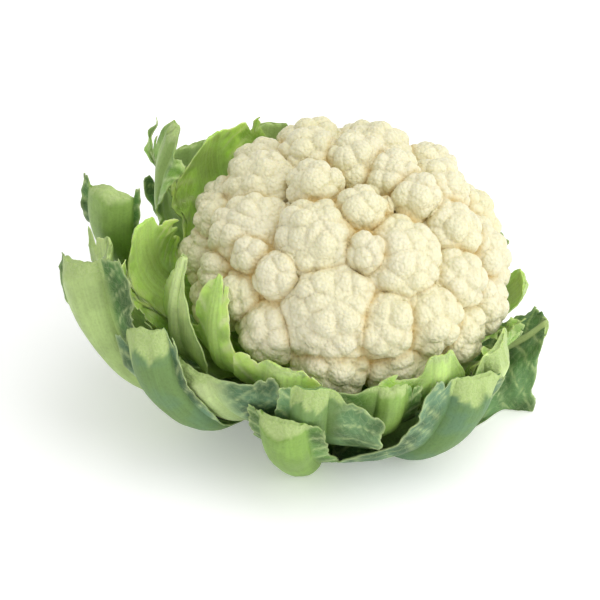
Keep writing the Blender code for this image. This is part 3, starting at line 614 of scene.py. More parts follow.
def leaf_material(tone, settings):
    """A leaf's skin: blade, wax, veins, rib, pale torn edges and cut ends, by the leaf's attributes."""
    roughness, glow = LEAF_FINISHES[tone]
    made, tree, shader = new_material(f"leaf_{tone}_skin", roughness)
    mottle = placed_group(tree, mottle_group(), Cloud_Size=0.016, Speck_Size=0.0012)
    pattern = placed_group(tree, leaf_pattern_group(), Net_Size=0.36, Net_Width=0.07)
    clouds, specks = mottle.outputs["Clouds"], mottle.outputs["Specks"]
    rib, vein, edge, cut = (attribute(tree, key) for key in ("rib", "vein", "edge", "cut"))
    wax, fresh, pale = (attribute(tree, key) for key in ("wax", "fresh", "pale"))
    waxed = calc(tree, "MULTIPLY", wax, spread(tree, clouds, 0.0, 1.0, *WAX_PATCHES))
    blade = blend_colours(tree, waxed, rgba(settings.blade), rgba(settings.waxy))
    blade = blend_colours(tree, fresh, blade, rgba(settings.fresh))
    tender = calc(tree, "MULTIPLY", calc(tree, "MULTIPLY", fresh, pale), PALE_IN_FRESH)
    blade = blend_colours(tree, tender, blade, rgba(settings.pale))
    blade = shaded(tree, blade, spread(tree, clouds, 0.0, 1.0, *BLADE_CLOUDS))
    netted = calc(tree, "MULTIPLY", pattern.outputs["Net"], PALE_IN_NET)
    blade = blend_colours(tree, netted, blade, rgba(settings.pale))
    veined = calc(tree, "MULTIPLY", vein, calc(tree, "MULTIPLY_ADD", fresh, 0.3, PALE_IN_VEIN))
    blade = blend_colours(tree, veined, blade, rgba(settings.pale))
    rib_skin = blend_colours(tree, pale, rgba(settings.rib), rgba(settings.pale))
    yellowed = calc(tree, "MULTIPLY", fresh, FRESH_IN_RIB)
    rib_skin = blend_colours(tree, yellowed, rib_skin, rgba(settings.fresh))
    bloom = calc(tree, "MULTIPLY", waxed, calc(tree, "SUBTRACT", WAXED_BELOW_PALE, pale, clamp=True))
    rib_skin = blend_colours(tree, bloom, rib_skin, rgba(settings.waxy))
    rib_skin = shaded(tree, rib_skin, spread(tree, pattern.outputs["Streaks"], 0.0, 1.0, *RIB_STREAKS))
    rib_skin = shaded(tree, rib_skin, spread(tree, specks, 0.0, 0.5, *RIB_SPECKS))
    skin = blend_colours(tree, rib, blade, rib_skin)
    skin = shaded(tree, skin, spread(tree, clouds, 0.0, 1.0, *SKIN_CLOUDS))
    skin = blend_colours(tree, calc(tree, "MULTIPLY", edge, PALE_IN_EDGE), skin, rgba(settings.pale))
    speckled = spread(tree, specks, 0.35, 0.75, 0.0, RIB_IN_CUT)
    flesh = blend_colours(tree, speckled, rgba(settings.cut), rgba(settings.rib))
    skin = blend_colours(tree, cut, skin, flesh)
    tree.links.new(skin, shader.inputs["Base Color"])
    rough = calc(tree, "MULTIPLY_ADD", waxed, WAX_ROUGHNESS, roughness)
    rough = calc(tree, "MULTIPLY_ADD", cut, CUT_ROUGHNESS, rough)
    tree.links.new(rough, shader.inputs["Roughness"])
    on_blade = calc(tree, "SUBTRACT", 1.0, rib, clamp=True)
    relief = calc(tree, "MULTIPLY", pattern.outputs["Net"], calc(tree, "MULTIPLY", on_blade, -0.6))
    relief = calc(tree, "MULTIPLY_ADD", pattern.outputs["Streaks"], calc(tree, "MULTIPLY", rib, 0.2), relief)
    relief = calc(tree, "MULTIPLY_ADD", specks, calc(tree, "MULTIPLY_ADD", cut, 0.9, 0.3), relief)
    bump(tree, shader, relief, distance=0.0003, strength=0.7)
    set_inputs(shader, Subsurface_Weight=glow, Subsurface_Radius=(0.8, 1.0, 0.3), Subsurface_Scale=0.002,
               Specular_IOR_Level=0.28)
    return made


def flesh_material(settings):
    """The florets' skin: ivory on the open grains with painted shade between them, and in the hollows an
    ochre that is partly the curd's own colour and partly painted shade; grains by bump.
    """
    made, tree, shader = new_material("curd_flesh", roughness=0.62)
    mottle = placed_group(tree, mottle_group(), Cloud_Size=0.035, Speck_Size=0.0016)
    crease, valley = attribute(tree, "crease"), attribute(tree, "valley")
    base = clouded(tree, mottle, settings.flesh, CREAM)
    cells = add_node(tree, "ShaderNodeTexVoronoi", {"Vector": own_place(tree), "Scale": GRAIN_SCALE})
    grain = cells.outputs["Distance"]
    # Painted shade: the gaps between the grains are darkened
    between = spread(tree, grain, 0.35, 0.8, 0.0, PAINTED_SHADE_IN_GRAIN)
    base = blend_colours(tree, between, base, rgba(PAINTED_GRAIN_SHADE))
    # Painted shade: the creases and valleys take on the hollows' ochre
    deep = calc(tree, "MAXIMUM", calc(tree, "MULTIPLY", crease, CREASE_IN_PAINTED_SHADE), valley)
    skin = blend_colours(tree, deep, base, rgba(settings.hollow))
    tree.links.new(skin, shader.inputs["Base Color"])
    height = calc(tree, "MULTIPLY_ADD", grain, calc(tree, "MULTIPLY", grain, -1.0), 1.0)
    height = calc(tree, "MULTIPLY_ADD", mottle.outputs["Specks"], 0.1, height)
    bump(tree, shader, height, distance=0.0008, strength=0.65)
    set_inputs(shader, Subsurface_Weight=0.2, Subsurface_Radius=(1.0, 0.8, 0.45), Subsurface_Scale=0.0015,
               Specular_IOR_Level=0.35)
    return made


def stalk_material(settings):
    """The branches under the florets: pale green below, and higher up, where they show between florets, the
    hollows' ochre as painted shade.
    """
    made, tree, shader = new_material("curd_stalk", roughness=0.5)
    mottle = placed_group(tree, mottle_group(), Cloud_Size=0.012, Speck_Size=0.002)
    skin = clouded(tree, mottle, settings.stalk, settings.flesh)
    height = add_node(tree, "ShaderNodeSeparateXYZ", {0: own_place(tree)}).outputs["Z"]
    # Painted shade on the stalks' tops, down between the florets
    skin = blend_colours(tree, spread(tree, height, *STALK_SHADE_HEIGHT), skin, rgba(settings.hollow))
    tree.links.new(skin, shader.inputs["Base Color"])
    bump(tree, shader, mottle.outputs["Specks"], distance=0.0003, strength=0.4)
    return made


def stem_material(settings):
    """The stem: pale green skin, and a woody cut butt with a darker ring."""
    made, tree, shader = new_material("stem_skin", roughness=0.5)
    mottle = placed_group(tree, mottle_group(), Cloud_Size=0.008, Speck_Size=0.0012)
    split = add_node(tree, "ShaderNodeSeparateXYZ", {0: own_place(tree)})
    low = spread(tree, split.outputs["Z"], *BUTT_HEIGHT, 1.0, 0.0)
    side = calc(tree, "MULTIPLY", split.outputs["X"], split.outputs["X"])
    away = calc(tree, "SQRT", calc(tree, "MULTIPLY_ADD", split.outputs["Y"], split.outputs["Y"], side))
    off_ring = calc(tree, "ABSOLUTE", calc(tree, "SUBTRACT", away, BUTT_RING_RADIUS))
    ring = spread(tree, off_ring, 0.0, BUTT_RING_WIDTH, RING_IN_BUTT, 0.0)
    butt = blend_colours(tree, ring, rgba(settings.butt), rgba(BUTT_RING))
    specks = spread(tree, mottle.outputs["Specks"], 0.3, 0.8, 0.0, SPECK_IN_BUTT)
    butt = blend_colours(tree, specks, butt, rgba(BUTT_SPECK))
    skin = clouded(tree, mottle, settings.skin, STEM_CLOUD)
    tree.links.new(blend_colours(tree, low, skin, butt), shader.inputs["Base Color"])
    bump(tree, shader, mottle.outputs["Specks"], distance=0.0004, strength=0.5)
    return made


# The plant's places


def plant_basis():
    """The plant's axis, and the directions across it to the right and to the back."""
    axis = np.array([math.tan(math.radians(LEAN_RIGHT)), -math.tan(math.radians(LEAN_FRONT)), 1.0])
    axis /= np.linalg.norm(axis)
    right = np.array([1.0, 0.0, 0.0]) - axis[0] * axis
    right /= np.linalg.norm(right)
    return right, np.cross(axis, right), axis


RIGHT, BACK, AXIS = plant_basis()


def place(radius, azimuth, height):
    """World position in mm of a place on the plant; the azimuth is in radians."""
    radius, azimuth, height = np.broadcast_arrays(radius, azimuth, height)
    across = np.cos(azimuth)[..., None] * RIGHT + np.sin(azimuth)[..., None] * BACK
    return radius[..., None] * across + height[..., None] * AXIS


def smooth_step(low, high, value):
    share = np.clip((value - low) / (high - low), 0.0, 1.0)
    return share * share * (3.0 - 2.0 * share)


def wobble(value, seed):
    """A smooth irregular wave between about -1 and 1."""
    random = np.random.default_rng(seed)
    total = np.zeros_like(value)
    for step in (1.0, 1.7, 2.9, 4.6):
        total = total + np.sin(value * step + random.uniform(0.0, 2 * math.pi)) / step
    return total / 1.6


def notches(value, seed, count, depth, width):
    """Torn notches at random places along 0 to 1, each with its own depth and width, as a depth."""
    random = np.random.default_rng(seed)
    total = np.zeros_like(value)
    for _ in range(count):
        middle = random.uniform(0.0, 1.0)
        share = random.uniform(*NOTCH_SHARES)
        wide = random.uniform(*NOTCH_WIDTHS)
        slope = np.where(value > middle, NOTCH_STEEP_SIDE, 1.0)
        total = np.maximum(total, depth * share * np.exp(-np.abs((value - middle) / (width * wide * slope))))
    return total


def points_in_mm(mesh):
    points = np.zeros(len(mesh.vertices) * 3)
    mesh.vertices.foreach_get("co", points)
    return points.reshape(-1, 3) / MM


def store_field(mesh, name, values):
    """Keeps one number for each point of a mesh, as an attribute of that name."""
    mesh.attributes.new(name, "FLOAT", "POINT").data.foreach_set("value", values.astype(np.float32))


# The curd


def fibonacci_directions(count):
    """Unit vectors spread evenly over a sphere, from the bottom to the top."""
    index = np.arange(count)
    height = (2.0 * index + 1.0) / count - 1.0
    turn = index * math.pi * (3.0 - math.sqrt(5.0))
    level = np.sqrt(1.0 - height**2)
    return np.stack([level * np.cos(turn), level * np.sin(turn), height], axis=1)


def dome_place(azimuth, latitude):
    """A point on the dome that holds the florets, and the dome's normal there, in plant axes."""
    azimuth, latitude = np.radians(azimuth), np.radians(latitude)
    height = CURD_DOME_HEIGHT if latitude >= 0 else CURD_UNDER_DEPTH
    direction = np.array([
        math.cos(latitude) * math.cos(azimuth),
        math.cos(latitude) * math.sin(azimuth),
        math.sin(latitude),
    ])
    scale = np.array([CURD_RADIUS, CURD_RADIUS, height])
    normal = direction / scale
    return direction * scale + np.array([0, 0, CURD_RIM_HEIGHT]), normal / np.linalg.norm(normal)


def sector_of(azimuth, latitude):
    """The group of florets that a place on the dome belongs to."""
    if latitude > CROWN_LATITUDE:
        return "florets_crown"
    for name, (start, end) in CURD_SECTORS.items():
        if (azimuth - start) % 360 < end - start:
            return name


def curd_spheres():
    """For each group of florets, the centres and radii of its spheres: the frame's florets and their clumps,
    pressed a little flatter, and the small florets that fill the gaps between them."""
    random = np.random.default_rng(CURD_SEED)
    random.random(CURD_POINTS)  # the frame's own points come first in its row of random numbers
    spheres = {}
    for azimuth, latitude, radius in FLORETS:
        group = spheres.setdefault(sector_of(azimuth, latitude), [])
        point, normal = dome_place(azimuth, latitude)
        radius = radius * FLORET_SWELL
        body = radius - CLUMP_RISE[1]
        centre = point - normal * radius
        pressed = radius * FLORET_PRESS
        group.append((*(point - normal * pressed), pressed - CLUMP_RISE[1] + CLUMP_SINK))
        count = max(FEWEST_CLUMPS, round(4 * math.pi * radius**2 / CLUMP_SPACING**2))
        for direction in fibonacci_directions(count):
            direction = direction + random.normal(0.0, CLUMP_JITTER, 3)
            direction /= np.linalg.norm(direction)
            clump = min(random.uniform(*CLUMP_RADIUS) * CLUMP_SWELL, radius * CLUMP_LARGEST_SHARE)
            rise = random.uniform(*CLUMP_RISE)
            if direction @ normal < CLUMP_LEAST_FACING:
                continue
            top = centre + direction * (body + rise)
            outwards = top - (point - normal * pressed)
            outwards /= np.linalg.norm(outwards)
            lift = (pressed - radius) * (1.0 - max(direction @ normal, 0.0))
            group.append((*(top + lift * outwards - clump * outwards), clump))
    for direction in fibonacci_directions(FILLER_POINTS):
        latitude = math.degrees(math.asin(direction[2]))
        azimuth = math.degrees(math.atan2(direction[1], direction[0]))
        filler = random.uniform(*FILLER_RADIUS)
        if latitude < FILLER_LEAST_LATITUDE:
            continue
        point, normal = dome_place(azimuth, latitude)
        centre = point - (point - np.array([0, 0, CURD_RIM_HEIGHT])) * (1.0 - CURD_CORE_SHARE)
        spheres[sector_of(azimuth, latitude)].append((*(centre - normal * (filler - FILLER_RISE)), filler))
    return {name: np.array(group) for name, group in spheres.items()}


def swelling_group():
    """Geometry Nodes group that covers a skin with round bumps of one size, creased between them."""
    group, entry, result = new_group(
        "curd_swelling", "GeometryNodeTree",
        [("Skin", "NodeSocketGeometry", None), ("Spacing", "NodeSocketFloat", 0.0062),
         ("Height", "NodeSocketFloat", 0.0005), ("Seed", "NodeSocketInt", 0)],
        [("Skin", "NodeSocketGeometry")])
    skin, spacing, height, seed = (entry.outputs[key] for key in ("Skin", "Spacing", "Height", "Seed"))
    density = calc(group, "DIVIDE", BUMP_DENSITY, calc(group, "MULTIPLY", spacing, spacing))
    tops = add_node(group, "GeometryNodeDistributePointsOnFaces", {
        "Mesh": skin, "Distance Min": calc(group, "MULTIPLY", spacing, BUMP_LEAST_APART),
        "Density Max": density, "Seed": seed}, distribute_method="POISSON")
    near = add_node(group, "GeometryNodeProximity", {0: tops.outputs["Points"]}, target_element="POINTS")
    reach = calc(group, "MULTIPLY", spacing, BUMP_REACH)
    away = calc(group, "DIVIDE", near.outputs["Distance"], reach, clamp=True)
    sunk = calc(group, "MULTIPLY", calc(group, "MULTIPLY", away, away), calc(group, "MULTIPLY", height, -1.0))
    normal = add_node(group, "GeometryNodeInputNormal").outputs[0]
    move = add_node(group, "ShaderNodeVectorMath", {0: normal, "Scale": sunk}, operation="SCALE")
    moved = add_node(group, "GeometryNodeSetPosition", {"Geometry": skin, "Offset": move.outputs[0]})
    group.links.new(moved.outputs[0], result.inputs["Skin"])
    return group


def hollow_field(group, rounds, depth):
    """How far the skin lies below its own smoothed shape, as a share of a depth."""
    here = add_node(group, "GeometryNodeInputPosition").outputs[0]
    smoothed = add_node(group, "GeometryNodeBlurAttribute", data_type="FLOAT_VECTOR")
    group.links.new(here, live(smoothed.inputs, "Value"))
    set_inputs(smoothed, Iterations=rounds)
    blurred = live(smoothed.outputs, "Value")
    away = add_node(group, "ShaderNodeVectorMath", {0: blurred, 1: here}, operation="SUBTRACT").outputs[0]
    normal = add_node(group, "GeometryNodeInputNormal").outputs[0]
    out = add_node(group, "ShaderNodeVectorMath", {0: away, 1: normal}, operation="DOT_PRODUCT")
    return calc(group, "DIVIDE", out.outputs["Value"], depth, clamp=True)


def curd_tree():
    """Geometry Nodes tree that turns spheres into a skin of bumps and grains, with its hollows marked for
    painted shade.
    """
    group, entry, result = new_group(
        "cauliflower_florets", "GeometryNodeTree",
        [("Spheres", "NodeSocketGeometry", None), ("Mesh Step", "NodeSocketFloat", 0.00063),
         ("Bump Spacing", "NodeSocketFloat", 0.0062), ("Bump Height", "NodeSocketFloat", 0.0005),
         ("Grain Spacing", "NodeSocketFloat", 0.0020), ("Grain Height", "NodeSocketFloat", 0.0003),
         ("Seed", "NodeSocketInt", 0), ("Finish", "NodeSocketMaterial", None)],
        [("Skin", "NodeSocketGeometry")])
    radius = add_node(group, "GeometryNodeInputNamedAttribute", {"Name": "radius"}, data_type="FLOAT")
    size = live(radius.outputs, "Attribute")
    points = add_node(group, "GeometryNodeMeshToPoints", {"Mesh": entry.outputs["Spheres"], "Radius": size})
    volume = add_node(group, "GeometryNodePointsToVolume", {
        "Points": points.outputs[0], "Voxel Size": entry.outputs["Mesh Step"], "Radius": size},
        resolution_mode="VOXEL_SIZE")
    skin = add_node(group, "GeometryNodeVolumeToMesh", {
        "Volume": volume.outputs[0], "Threshold": SKIN_THRESHOLD})
    swelling = swelling_group()
    bumps = placed_group(group, swelling, Skin=skin.outputs[0], Spacing=entry.outputs["Bump Spacing"],
                         Height=entry.outputs["Bump Height"], Seed=entry.outputs["Seed"])
    grain_seed = calc(group, "ADD", entry.outputs["Seed"], 1)
    grains = placed_group(group, swelling, Skin=bumps.outputs[0], Spacing=entry.outputs["Grain Spacing"],
                          Height=entry.outputs["Grain Height"], Seed=grain_seed)
    kept = grains.outputs[0]
    # The hollows' masks, which the flesh's finish fills with painted shade
    for name, rounds, depth in HOLLOWS:
        stored = add_node(group, "GeometryNodeStoreNamedAttribute", {
            "Geometry": kept, "Name": name, "Value": hollow_field(group, rounds, depth)},
            data_type="FLOAT", domain="POINT")
        kept = stored.outputs[0]
    smooth = add_node(group, "GeometryNodeSetShadeSmooth", {"Geometry": kept})
    real = add_node(group, "GeometryNodeRealizeInstances", {0: smooth.outputs[0]})
    dressed = add_node(group, "GeometryNodeSetMaterial", {
        "Geometry": real.outputs[0], "Material": entry.outputs["Finish"]})
    group.links.new(dressed.outputs[0], result.inputs["Skin"])
    return group


def baked(holder, tree, values):
    """Runs a tree on an object with its inputs set, and leaves the result as the object's plain mesh."""
    modifier = holder.modifiers.new("build", "NODES")
    modifier.node_group = tree
    for item in tree.interface.items_tree:
        if item.item_type == "SOCKET" and item.in_out == "INPUT" and item.name in values:
            modifier[item.identifier] = values[item.name]
    graph = bpy.context.evaluated_depsgraph_get()
    mesh = bpy.data.meshes.new_from_object(holder.evaluated_get(graph))
    holder.modifiers.remove(modifier)
    source = holder.data
    holder.data = mesh
    bpy.data.meshes.remove(source)
    mesh.name = holder.name
    return holder


def linked_object(name, mesh):
    made = bpy.data.objects.new(name, mesh)
    bpy.context.scene.collection.objects.link(made)
    return made


def in_plant_axes(local):
    return local[:, 0:1] * RIGHT + local[:, 1:2] * BACK + local[:, 2:3] * AXIS


def floret_spheres():
    """World centres in mm and radii of the pressed florets, without their clumps."""
    centres, radii = [], []
    for azimuth, latitude, radius in FLORETS:
        point, normal = dome_place(azimuth, latitude)
        pressed = radius * FLORET_SWELL * FLORET_PRESS
        centres.append(point - normal * pressed)
        radii.append(pressed)
    return in_plant_axes(np.array(centres)), np.array(radii)


def crease_between(mesh, centres, radii, depth, width, painted_shade):
    """Sinks the skin where two spheres meet, and adds painted shade along that crease to the valleys' mask of
    the hollows.
    """
    points = points_in_mm(mesh)
    away = np.linalg.norm(points[:, None, :] - centres[None], axis=2) - radii[None]
    order = np.argpartition(away, 1, axis=1)[:, :2]
    near = np.take_along_axis(away, order, axis=1)
    sunk = np.exp(-np.abs((near[:, 1] - near[:, 0]) / width))
    inwards = centres[order].mean(axis=1) - points
    inwards /= np.linalg.norm(inwards, axis=1, keepdims=True)
    points = points + (depth * sunk)[:, None] * inwards
    mesh.vertices.foreach_set("co", (points * MM).ravel())
    # Painted shade along the crease, added to the hollows' valley mask
    valley = mesh.attributes["valley"].data
    values = np.zeros(len(points))
    valley.foreach_get("value", values)
    valley.foreach_set("value", np.clip(values + painted_shade * sunk, 0.0, 1.0).astype(np.float32))
    mesh.update()


def stalk_core():
    """The inside of the curd: a ribbed cone of branches over the stem, closed by a dome under the florets."""
    turn = np.linspace(0.0, 2 * math.pi, CORE_SIDES, endpoint=False)
    rim = CURD_RADIUS * CURD_CORE_SHARE - CORE_RIM_INSET
    foot = STEM_TOP_HEIGHT + GAP + CORE_FOOT_LIFT
    rings = []
    for share in np.linspace(0.0, 1.0, CORE_LEVELS):
        radius = STEM_RADIUS - CORE_FOOT_INSET + share * (rim - STEM_RADIUS)
        level = foot + CURD_UNDERSIDE_SLOPE * max(radius - STEM_RADIUS, 0.0)
        branches = 0.5 + 0.5 * np.cos(CORE_BRANCHES * turn + 2.0 * share)
        rings.append((radius, level + smooth_step(0.05, 0.5, share) * CORE_BRANCH_DEPTH * branches))
    for latitude in np.linspace(*CORE_DOME_SPAN, CORE_DOME_LEVELS) * math.pi:
        level = CURD_RIM_HEIGHT + CORE_DOME_HEIGHT * math.sin(latitude)
        rings.append((rim * math.cos(latitude), np.full_like(turn, level)))
    rows = [np.stack([radius * np.cos(turn), radius * np.sin(turn), level], axis=1)
            for radius, level in rings]
    points = np.concatenate(rows + [[[0.0, 0.0, foot]], [[0.0, 0.0, CURD_RIM_HEIGHT + CORE_DOME_HEIGHT]]])
    low, high = len(points) - 2, len(points) - 1
    last = (len(rings) - 1) * CORE_SIDES
    faces = []
    for side in range(CORE_SIDES):
        after = (side + 1) % CORE_SIDES
        faces.append((low, after, side))
        faces.append((high, last + side, last + after))
        for ring in range(len(rings) - 1):
            a, b = ring * CORE_SIDES, (ring + 1) * CORE_SIDES
            faces.append((a + side, a + after, b + after, b + side))
    mesh = bpy.data.meshes.new("curd_stalks")
    mesh.from_pydata((in_plant_axes(points) * MM).tolist(), [], faces)
    mesh.shade_smooth()
    return linked_object("curd_stalks", mesh)


class CAULIFLOWER_OT_curd(bpy.types.Operator):
    """Builds the florets of the curd and the branches that carry them"""

    bl_idname = "cauliflower.curd"
    bl_label = "Curd"

    def execute(self, context):
        settings = context.scene.cauliflower_curd
        finish = flesh_material(settings)
        tree = curd_tree()
        pieces = []
        for name, spheres in curd_spheres().items():
            mesh = bpy.data.meshes.new(name)
            mesh.from_pydata((in_plant_axes(spheres[:, :3]) * MM).tolist(), [], [])
            store_field(mesh, "radius", spheres[:, 3] * MM)
            piece = baked(linked_object(name, mesh), tree, {
                "Mesh Step": settings.mesh_step,
                "Bump Spacing": settings.bump_spacing,
                "Bump Height": settings.bump_height,
                "Grain Spacing": settings.grain_spacing,
                "Grain Height": settings.grain_height,
                "Seed": settings.seed,
                "Finish": finish,
            })
            if len(piece.data.polygons) == 0:
                raise RuntimeError(f"{name} came out empty")
            clumps = spheres[spheres[:, 3] < CLUMP_RADIUS[1] * CLUMP_SWELL]
            crease_between(piece.data, in_plant_axes(clumps[:, :3]), clumps[:, 3],
                           settings.clump_crease / MM, *CLUMP_CREASE_AND_SHADE)
            crease_between(piece.data, *floret_spheres(), settings.floret_crease / MM, *FLORET_CREASE_AND_SHADE)
            pieces.append(piece)
        stalks = stalk_core()
        stalks.data.materials.append(stalk_material(settings))
        for piece in [*pieces, stalks]:
            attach(piece, "root")
            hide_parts("curd")
        return {"FINISHED"}


class CAULIFLOWER_OT_stem(bpy.types.Operator):
    """Finishes the stem and its cut butt"""

    bl_idname = "cauliflower.stem"
    bl_label = "Stem"

    def execute(self, context):
        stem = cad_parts["stem"]
        finish = stem_material(context.scene.cauliflower_stem)
        for slot in stem.material_slots:
            slot.material = finish
        return {"FINISHED"}


# The leaves


def smooth_line(stations, shares):
    """Points at the given shares of the length of a smooth curve through the stations."""
    points = np.asarray(stations, float)
    moved = np.diff(points, axis=0)
    moved[:, 1] = np.radians(moved[:, 1]) * points[1:, 0]
    knots = np.concatenate([[0.0], np.cumsum(np.linalg.norm(moved, axis=1))])
    knots /= knots[-1]
    slopes = np.gradient(points, knots, axis=0)
    index = np.clip(np.searchsorted(knots, shares, side="right") - 1, 0, len(knots) - 2)
    span = (knots[index + 1] - knots[index])[:, None]
    t = (shares - knots[index])[:, None] / span
    return (
        (2 * t**3 - 3 * t**2 + 1) * points[index]
        + (t**3 - 2 * t**2 + t) * span * slopes[index]
        + (3 * t**2 - 2 * t**3) * points[index + 1]
        + (t**3 - t**2) * span * slopes[index + 1]
    )


def rib_frames(leaf, shares):
    """Along the rib: its places, and the directions across the leaf, out of its back and along it, each
    written as (away from the axis, round it, along it)."""
    step = 1e-3
    here = smooth_line(leaf.rib_line, shares)
    change = smooth_line(leaf.rib_line, np.minimum(shares + step, 1.0))
    change = change - smooth_line(leaf.rib_line, np.maximum(shares - step, 0.0))
    along = np.stack([change[:, 0], here[:, 0] * np.radians(change[:, 1]), change[:, 2]], axis=1)
    along /= np.linalg.norm(along, axis=1, keepdims=True)
    across = np.array([0.0, 1.0, 0.0]) - along[:, 1:2] * along
    across /= np.linalg.norm(across, axis=1, keepdims=True)
    out = np.cross(across, along)
    twist = np.radians(leaf.twist) * smooth_step(*TWIST_SPAN, shares)[:, None]
    turned = across * np.cos(twist) - out * np.sin(twist)
    return here, turned, out * np.cos(twist) + across * np.sin(twist), along


def tip_fade(shares):
    """How wide a leaf with a rounded tip still is at each share of its length."""
    return np.sqrt(1.0 - TIP_ROUNDNESS * np.clip((shares - TIP_FROM) / (1.0 - TIP_FROM), 0.0, 1.0) ** 2)


def blade_width(leaf, blade, shares, teeth):
    """How far a blade reaches beyond the rib at each share of the leaf's length."""
    if blade is None:
        return np.full_like(shares, BLADE_LEAST_WIDTH)
    grown = smooth_step(blade.start, blade.start + BLADE_GROWTH, shares)
    width = blade.width + (blade.end_width - blade.width) * smooth_step(*END_WIDTH_SPAN, shares)
    for depth, waves, turns in TEARS:
        width = width + blade.width * depth * np.sin(waves * shares + turns * leaf.phase)
    if leaf.round_tip:
        width = width * tip_fade(shares)
    return np.maximum(BLADE_LEAST_WIDTH + grown * (width + teeth), BLADE_LEAST_WIDTH)


def half_section(leaf, blade, rib, shares, columns, teeth, skirt):
    """One side of the leaf, from the middle of its rib to its edge: how far across and how far outwards
    each point lies, and how far it is from the rib's middle over the surface."""
    samples = np.linspace(0.0, 1.0, SECTION_SAMPLES)
    beyond = np.clip((samples - RIB_SHARE) / (1.0 - RIB_SHARE), 0.0, 1.0)
    width = blade_width(leaf, blade, shares, teeth) + skirt
    on_rib = np.clip(samples / RIB_SHARE, 0.0, 1.0)
    reach = rib[:, None] * on_rib[None, :] + width[:, None] * beyond[None, :]
    heading = np.zeros_like(samples)
    ripple = 0.0
    if blade is not None:
        low, high = blade.fold_at - blade.fold_span / 2, blade.fold_at + blade.fold_span / 2
        heading = np.radians(blade.curl) * smooth_step(low, high, beyond)
        ripple = blade.ripple
    opened = smooth_step(*BLADE_OPENING, shares)[:, None]
    heading = heading[None, :] * opened
    steps = np.diff(reach, axis=1, prepend=0.0)
    across = np.cumsum(steps * np.cos(heading), axis=1)
    outwards = np.cumsum(steps * np.sin(heading), axis=1)
    wave = np.sin(2 * math.pi * leaf.waves * shares + leaf.phase)[:, None]
    outwards = outwards + ripple * wave * opened * beyond[None, :] ** 2
    fields = (across, outwards, reach)
    return [np.array([np.interp(columns, samples, row) for row in field]) for field in fields]


def face_normals(sheet):
    """Unit normals of a grid of points, pointing to the leaf's outer side."""
    normals = np.cross(np.gradient(sheet, axis=1), np.gradient(sheet, axis=0))
    return normals / np.linalg.norm(normals, axis=-1, keepdims=True)


def leaf_seed(leaf):
    """The number that a leaf's own random draws start from."""
    return int(leaf.phase * 100) + len(leaf.name)


def leaf_sheet(leaf, rows, columns, tooth):
    """The leaf's inner face as a grid of world points, its outward normals, its thickness, the direction
    straight out from the rib, and how far each point is from the rib's middle."""
    line, across_dir, out_dir, along_dir = rib_frames(leaf, rows)
    radius, azimuth, height = line[:, 0], np.radians(line[:, 1]), line[:, 2]
    rib = leaf.half_width[0] + (leaf.half_width[1] - leaf.half_width[0]) * rows
    rib = rib * (1.0 + RIB_BULGE * np.sin(math.pi * rows))
    rib_thick = leaf.thickness[0] + (leaf.thickness[1] - leaf.thickness[0]) * rows
    if leaf.round_tip:
        rib = np.maximum(rib * tip_fade(rows), TIP_LEAST_RIB)
        rib_thick = np.maximum(rib_thick * tip_fade(rows), FRAME_BLADE_THICKNESS)
    across, outwards, droop, reach = np.zeros((4, len(rows), len(columns)))
    for side, blade in ((-1.0, leaf.clockwise), (1.0, leaf.anticlockwise)):
        chosen = columns * side >= 0.0
        seed = leaf_seed(leaf) + int(side)
        deepest = 0.0 if blade is None else min(EDGE_NOTCH_SHARE * blade.width, EDGE_NOTCH_DEEPEST)
        deepest = deepest * min(leaf.ruffle, 1.0)
        teeth = tooth * wobble(rows * TOOTH_WAVES, seed)
        skirt = np.zeros_like(rows)
        if tooth > 0.0:
            count, width = EDGE_NOTCHES
            teeth = teeth + leaf.frill - notches(rows, seed + 1, count, deepest, width)
            skirt = leaf.skirt * smooth_step(*SKIRT_SPAN, rows) * (1.0 - smooth_step(*leaf.skirt_fade, rows))
        far, out, over = half_section(leaf, blade, rib, rows, np.abs(columns[chosen]), teeth, skirt)
        across[:, chosen] = side * far
        outwards[:, chosen] = out
        reach[:, chosen] = over
        droop[:, chosen] = 0.0 if blade is None else blade.droop
    slanted = leaf.slant * across * smooth_step(*SLANT_SPAN, rows)[:, None]
    move = across[..., None] * across_dir[:, None, :] + slanted[..., None] * along_dir[:, None, :]
    new_radius = np.maximum(radius[:, None] + move[..., 0], STEM_RADIUS + GAP)
    new_azimuth = azimuth[:, None] + move[..., 1] / radius[:, None]
    away = np.cos(new_azimuth)[..., None] * RIGHT + np.sin(new_azimuth)[..., None] * BACK
    round_axis = np.cos(new_azimuth)[..., None] * BACK - np.sin(new_azimuth)[..., None] * RIGHT
    out = out_dir[:, None, :]
    straight_out = out[..., 0:1] * away + out[..., 1:2] * round_axis + out[..., 2:3] * AXIS
    hanging = straight_out * (1.0 - droop[..., None]) + droop[..., None] * np.array([0.0, 0.0, -1.0])
    hanging /= np.linalg.norm(hanging, axis=-1, keepdims=True)
    sheet = place(new_radius, new_azimuth, height[:, None] + move[..., 2]) + outwards[..., None] * hanging
    normals = face_normals(sheet)
    dome = (1.0 - np.clip(np.abs(columns) / RIB_SHARE, 0.0, 1.0) ** 2) ** RIB_ROUNDNESS
    channel = CHANNEL_DEPTH * rib_thick[:, None] * dome[None, :]
    thick = FRAME_BLADE_THICKNESS
    thick = thick + np.maximum(rib_thick - FRAME_BLADE_THICKNESS, 0.0)[:, None] * dome[None, :]
    return sheet + channel[..., None] * normals, normals, thick - channel, straight_out, reach


def columns_of(on_rib, on_blade):
    """Column positions from -1 to 1, with so many steps on each half of the rib and on each blade."""
    rib = np.linspace(0.0, RIB_SHARE, on_rib + 1)
    half = np.concatenate([rib, RIB_SHARE + (1.0 - RIB_SHARE) * np.arange(1, on_blade + 1) / on_blade])
    return np.concatenate([-half[:0:-1], half])


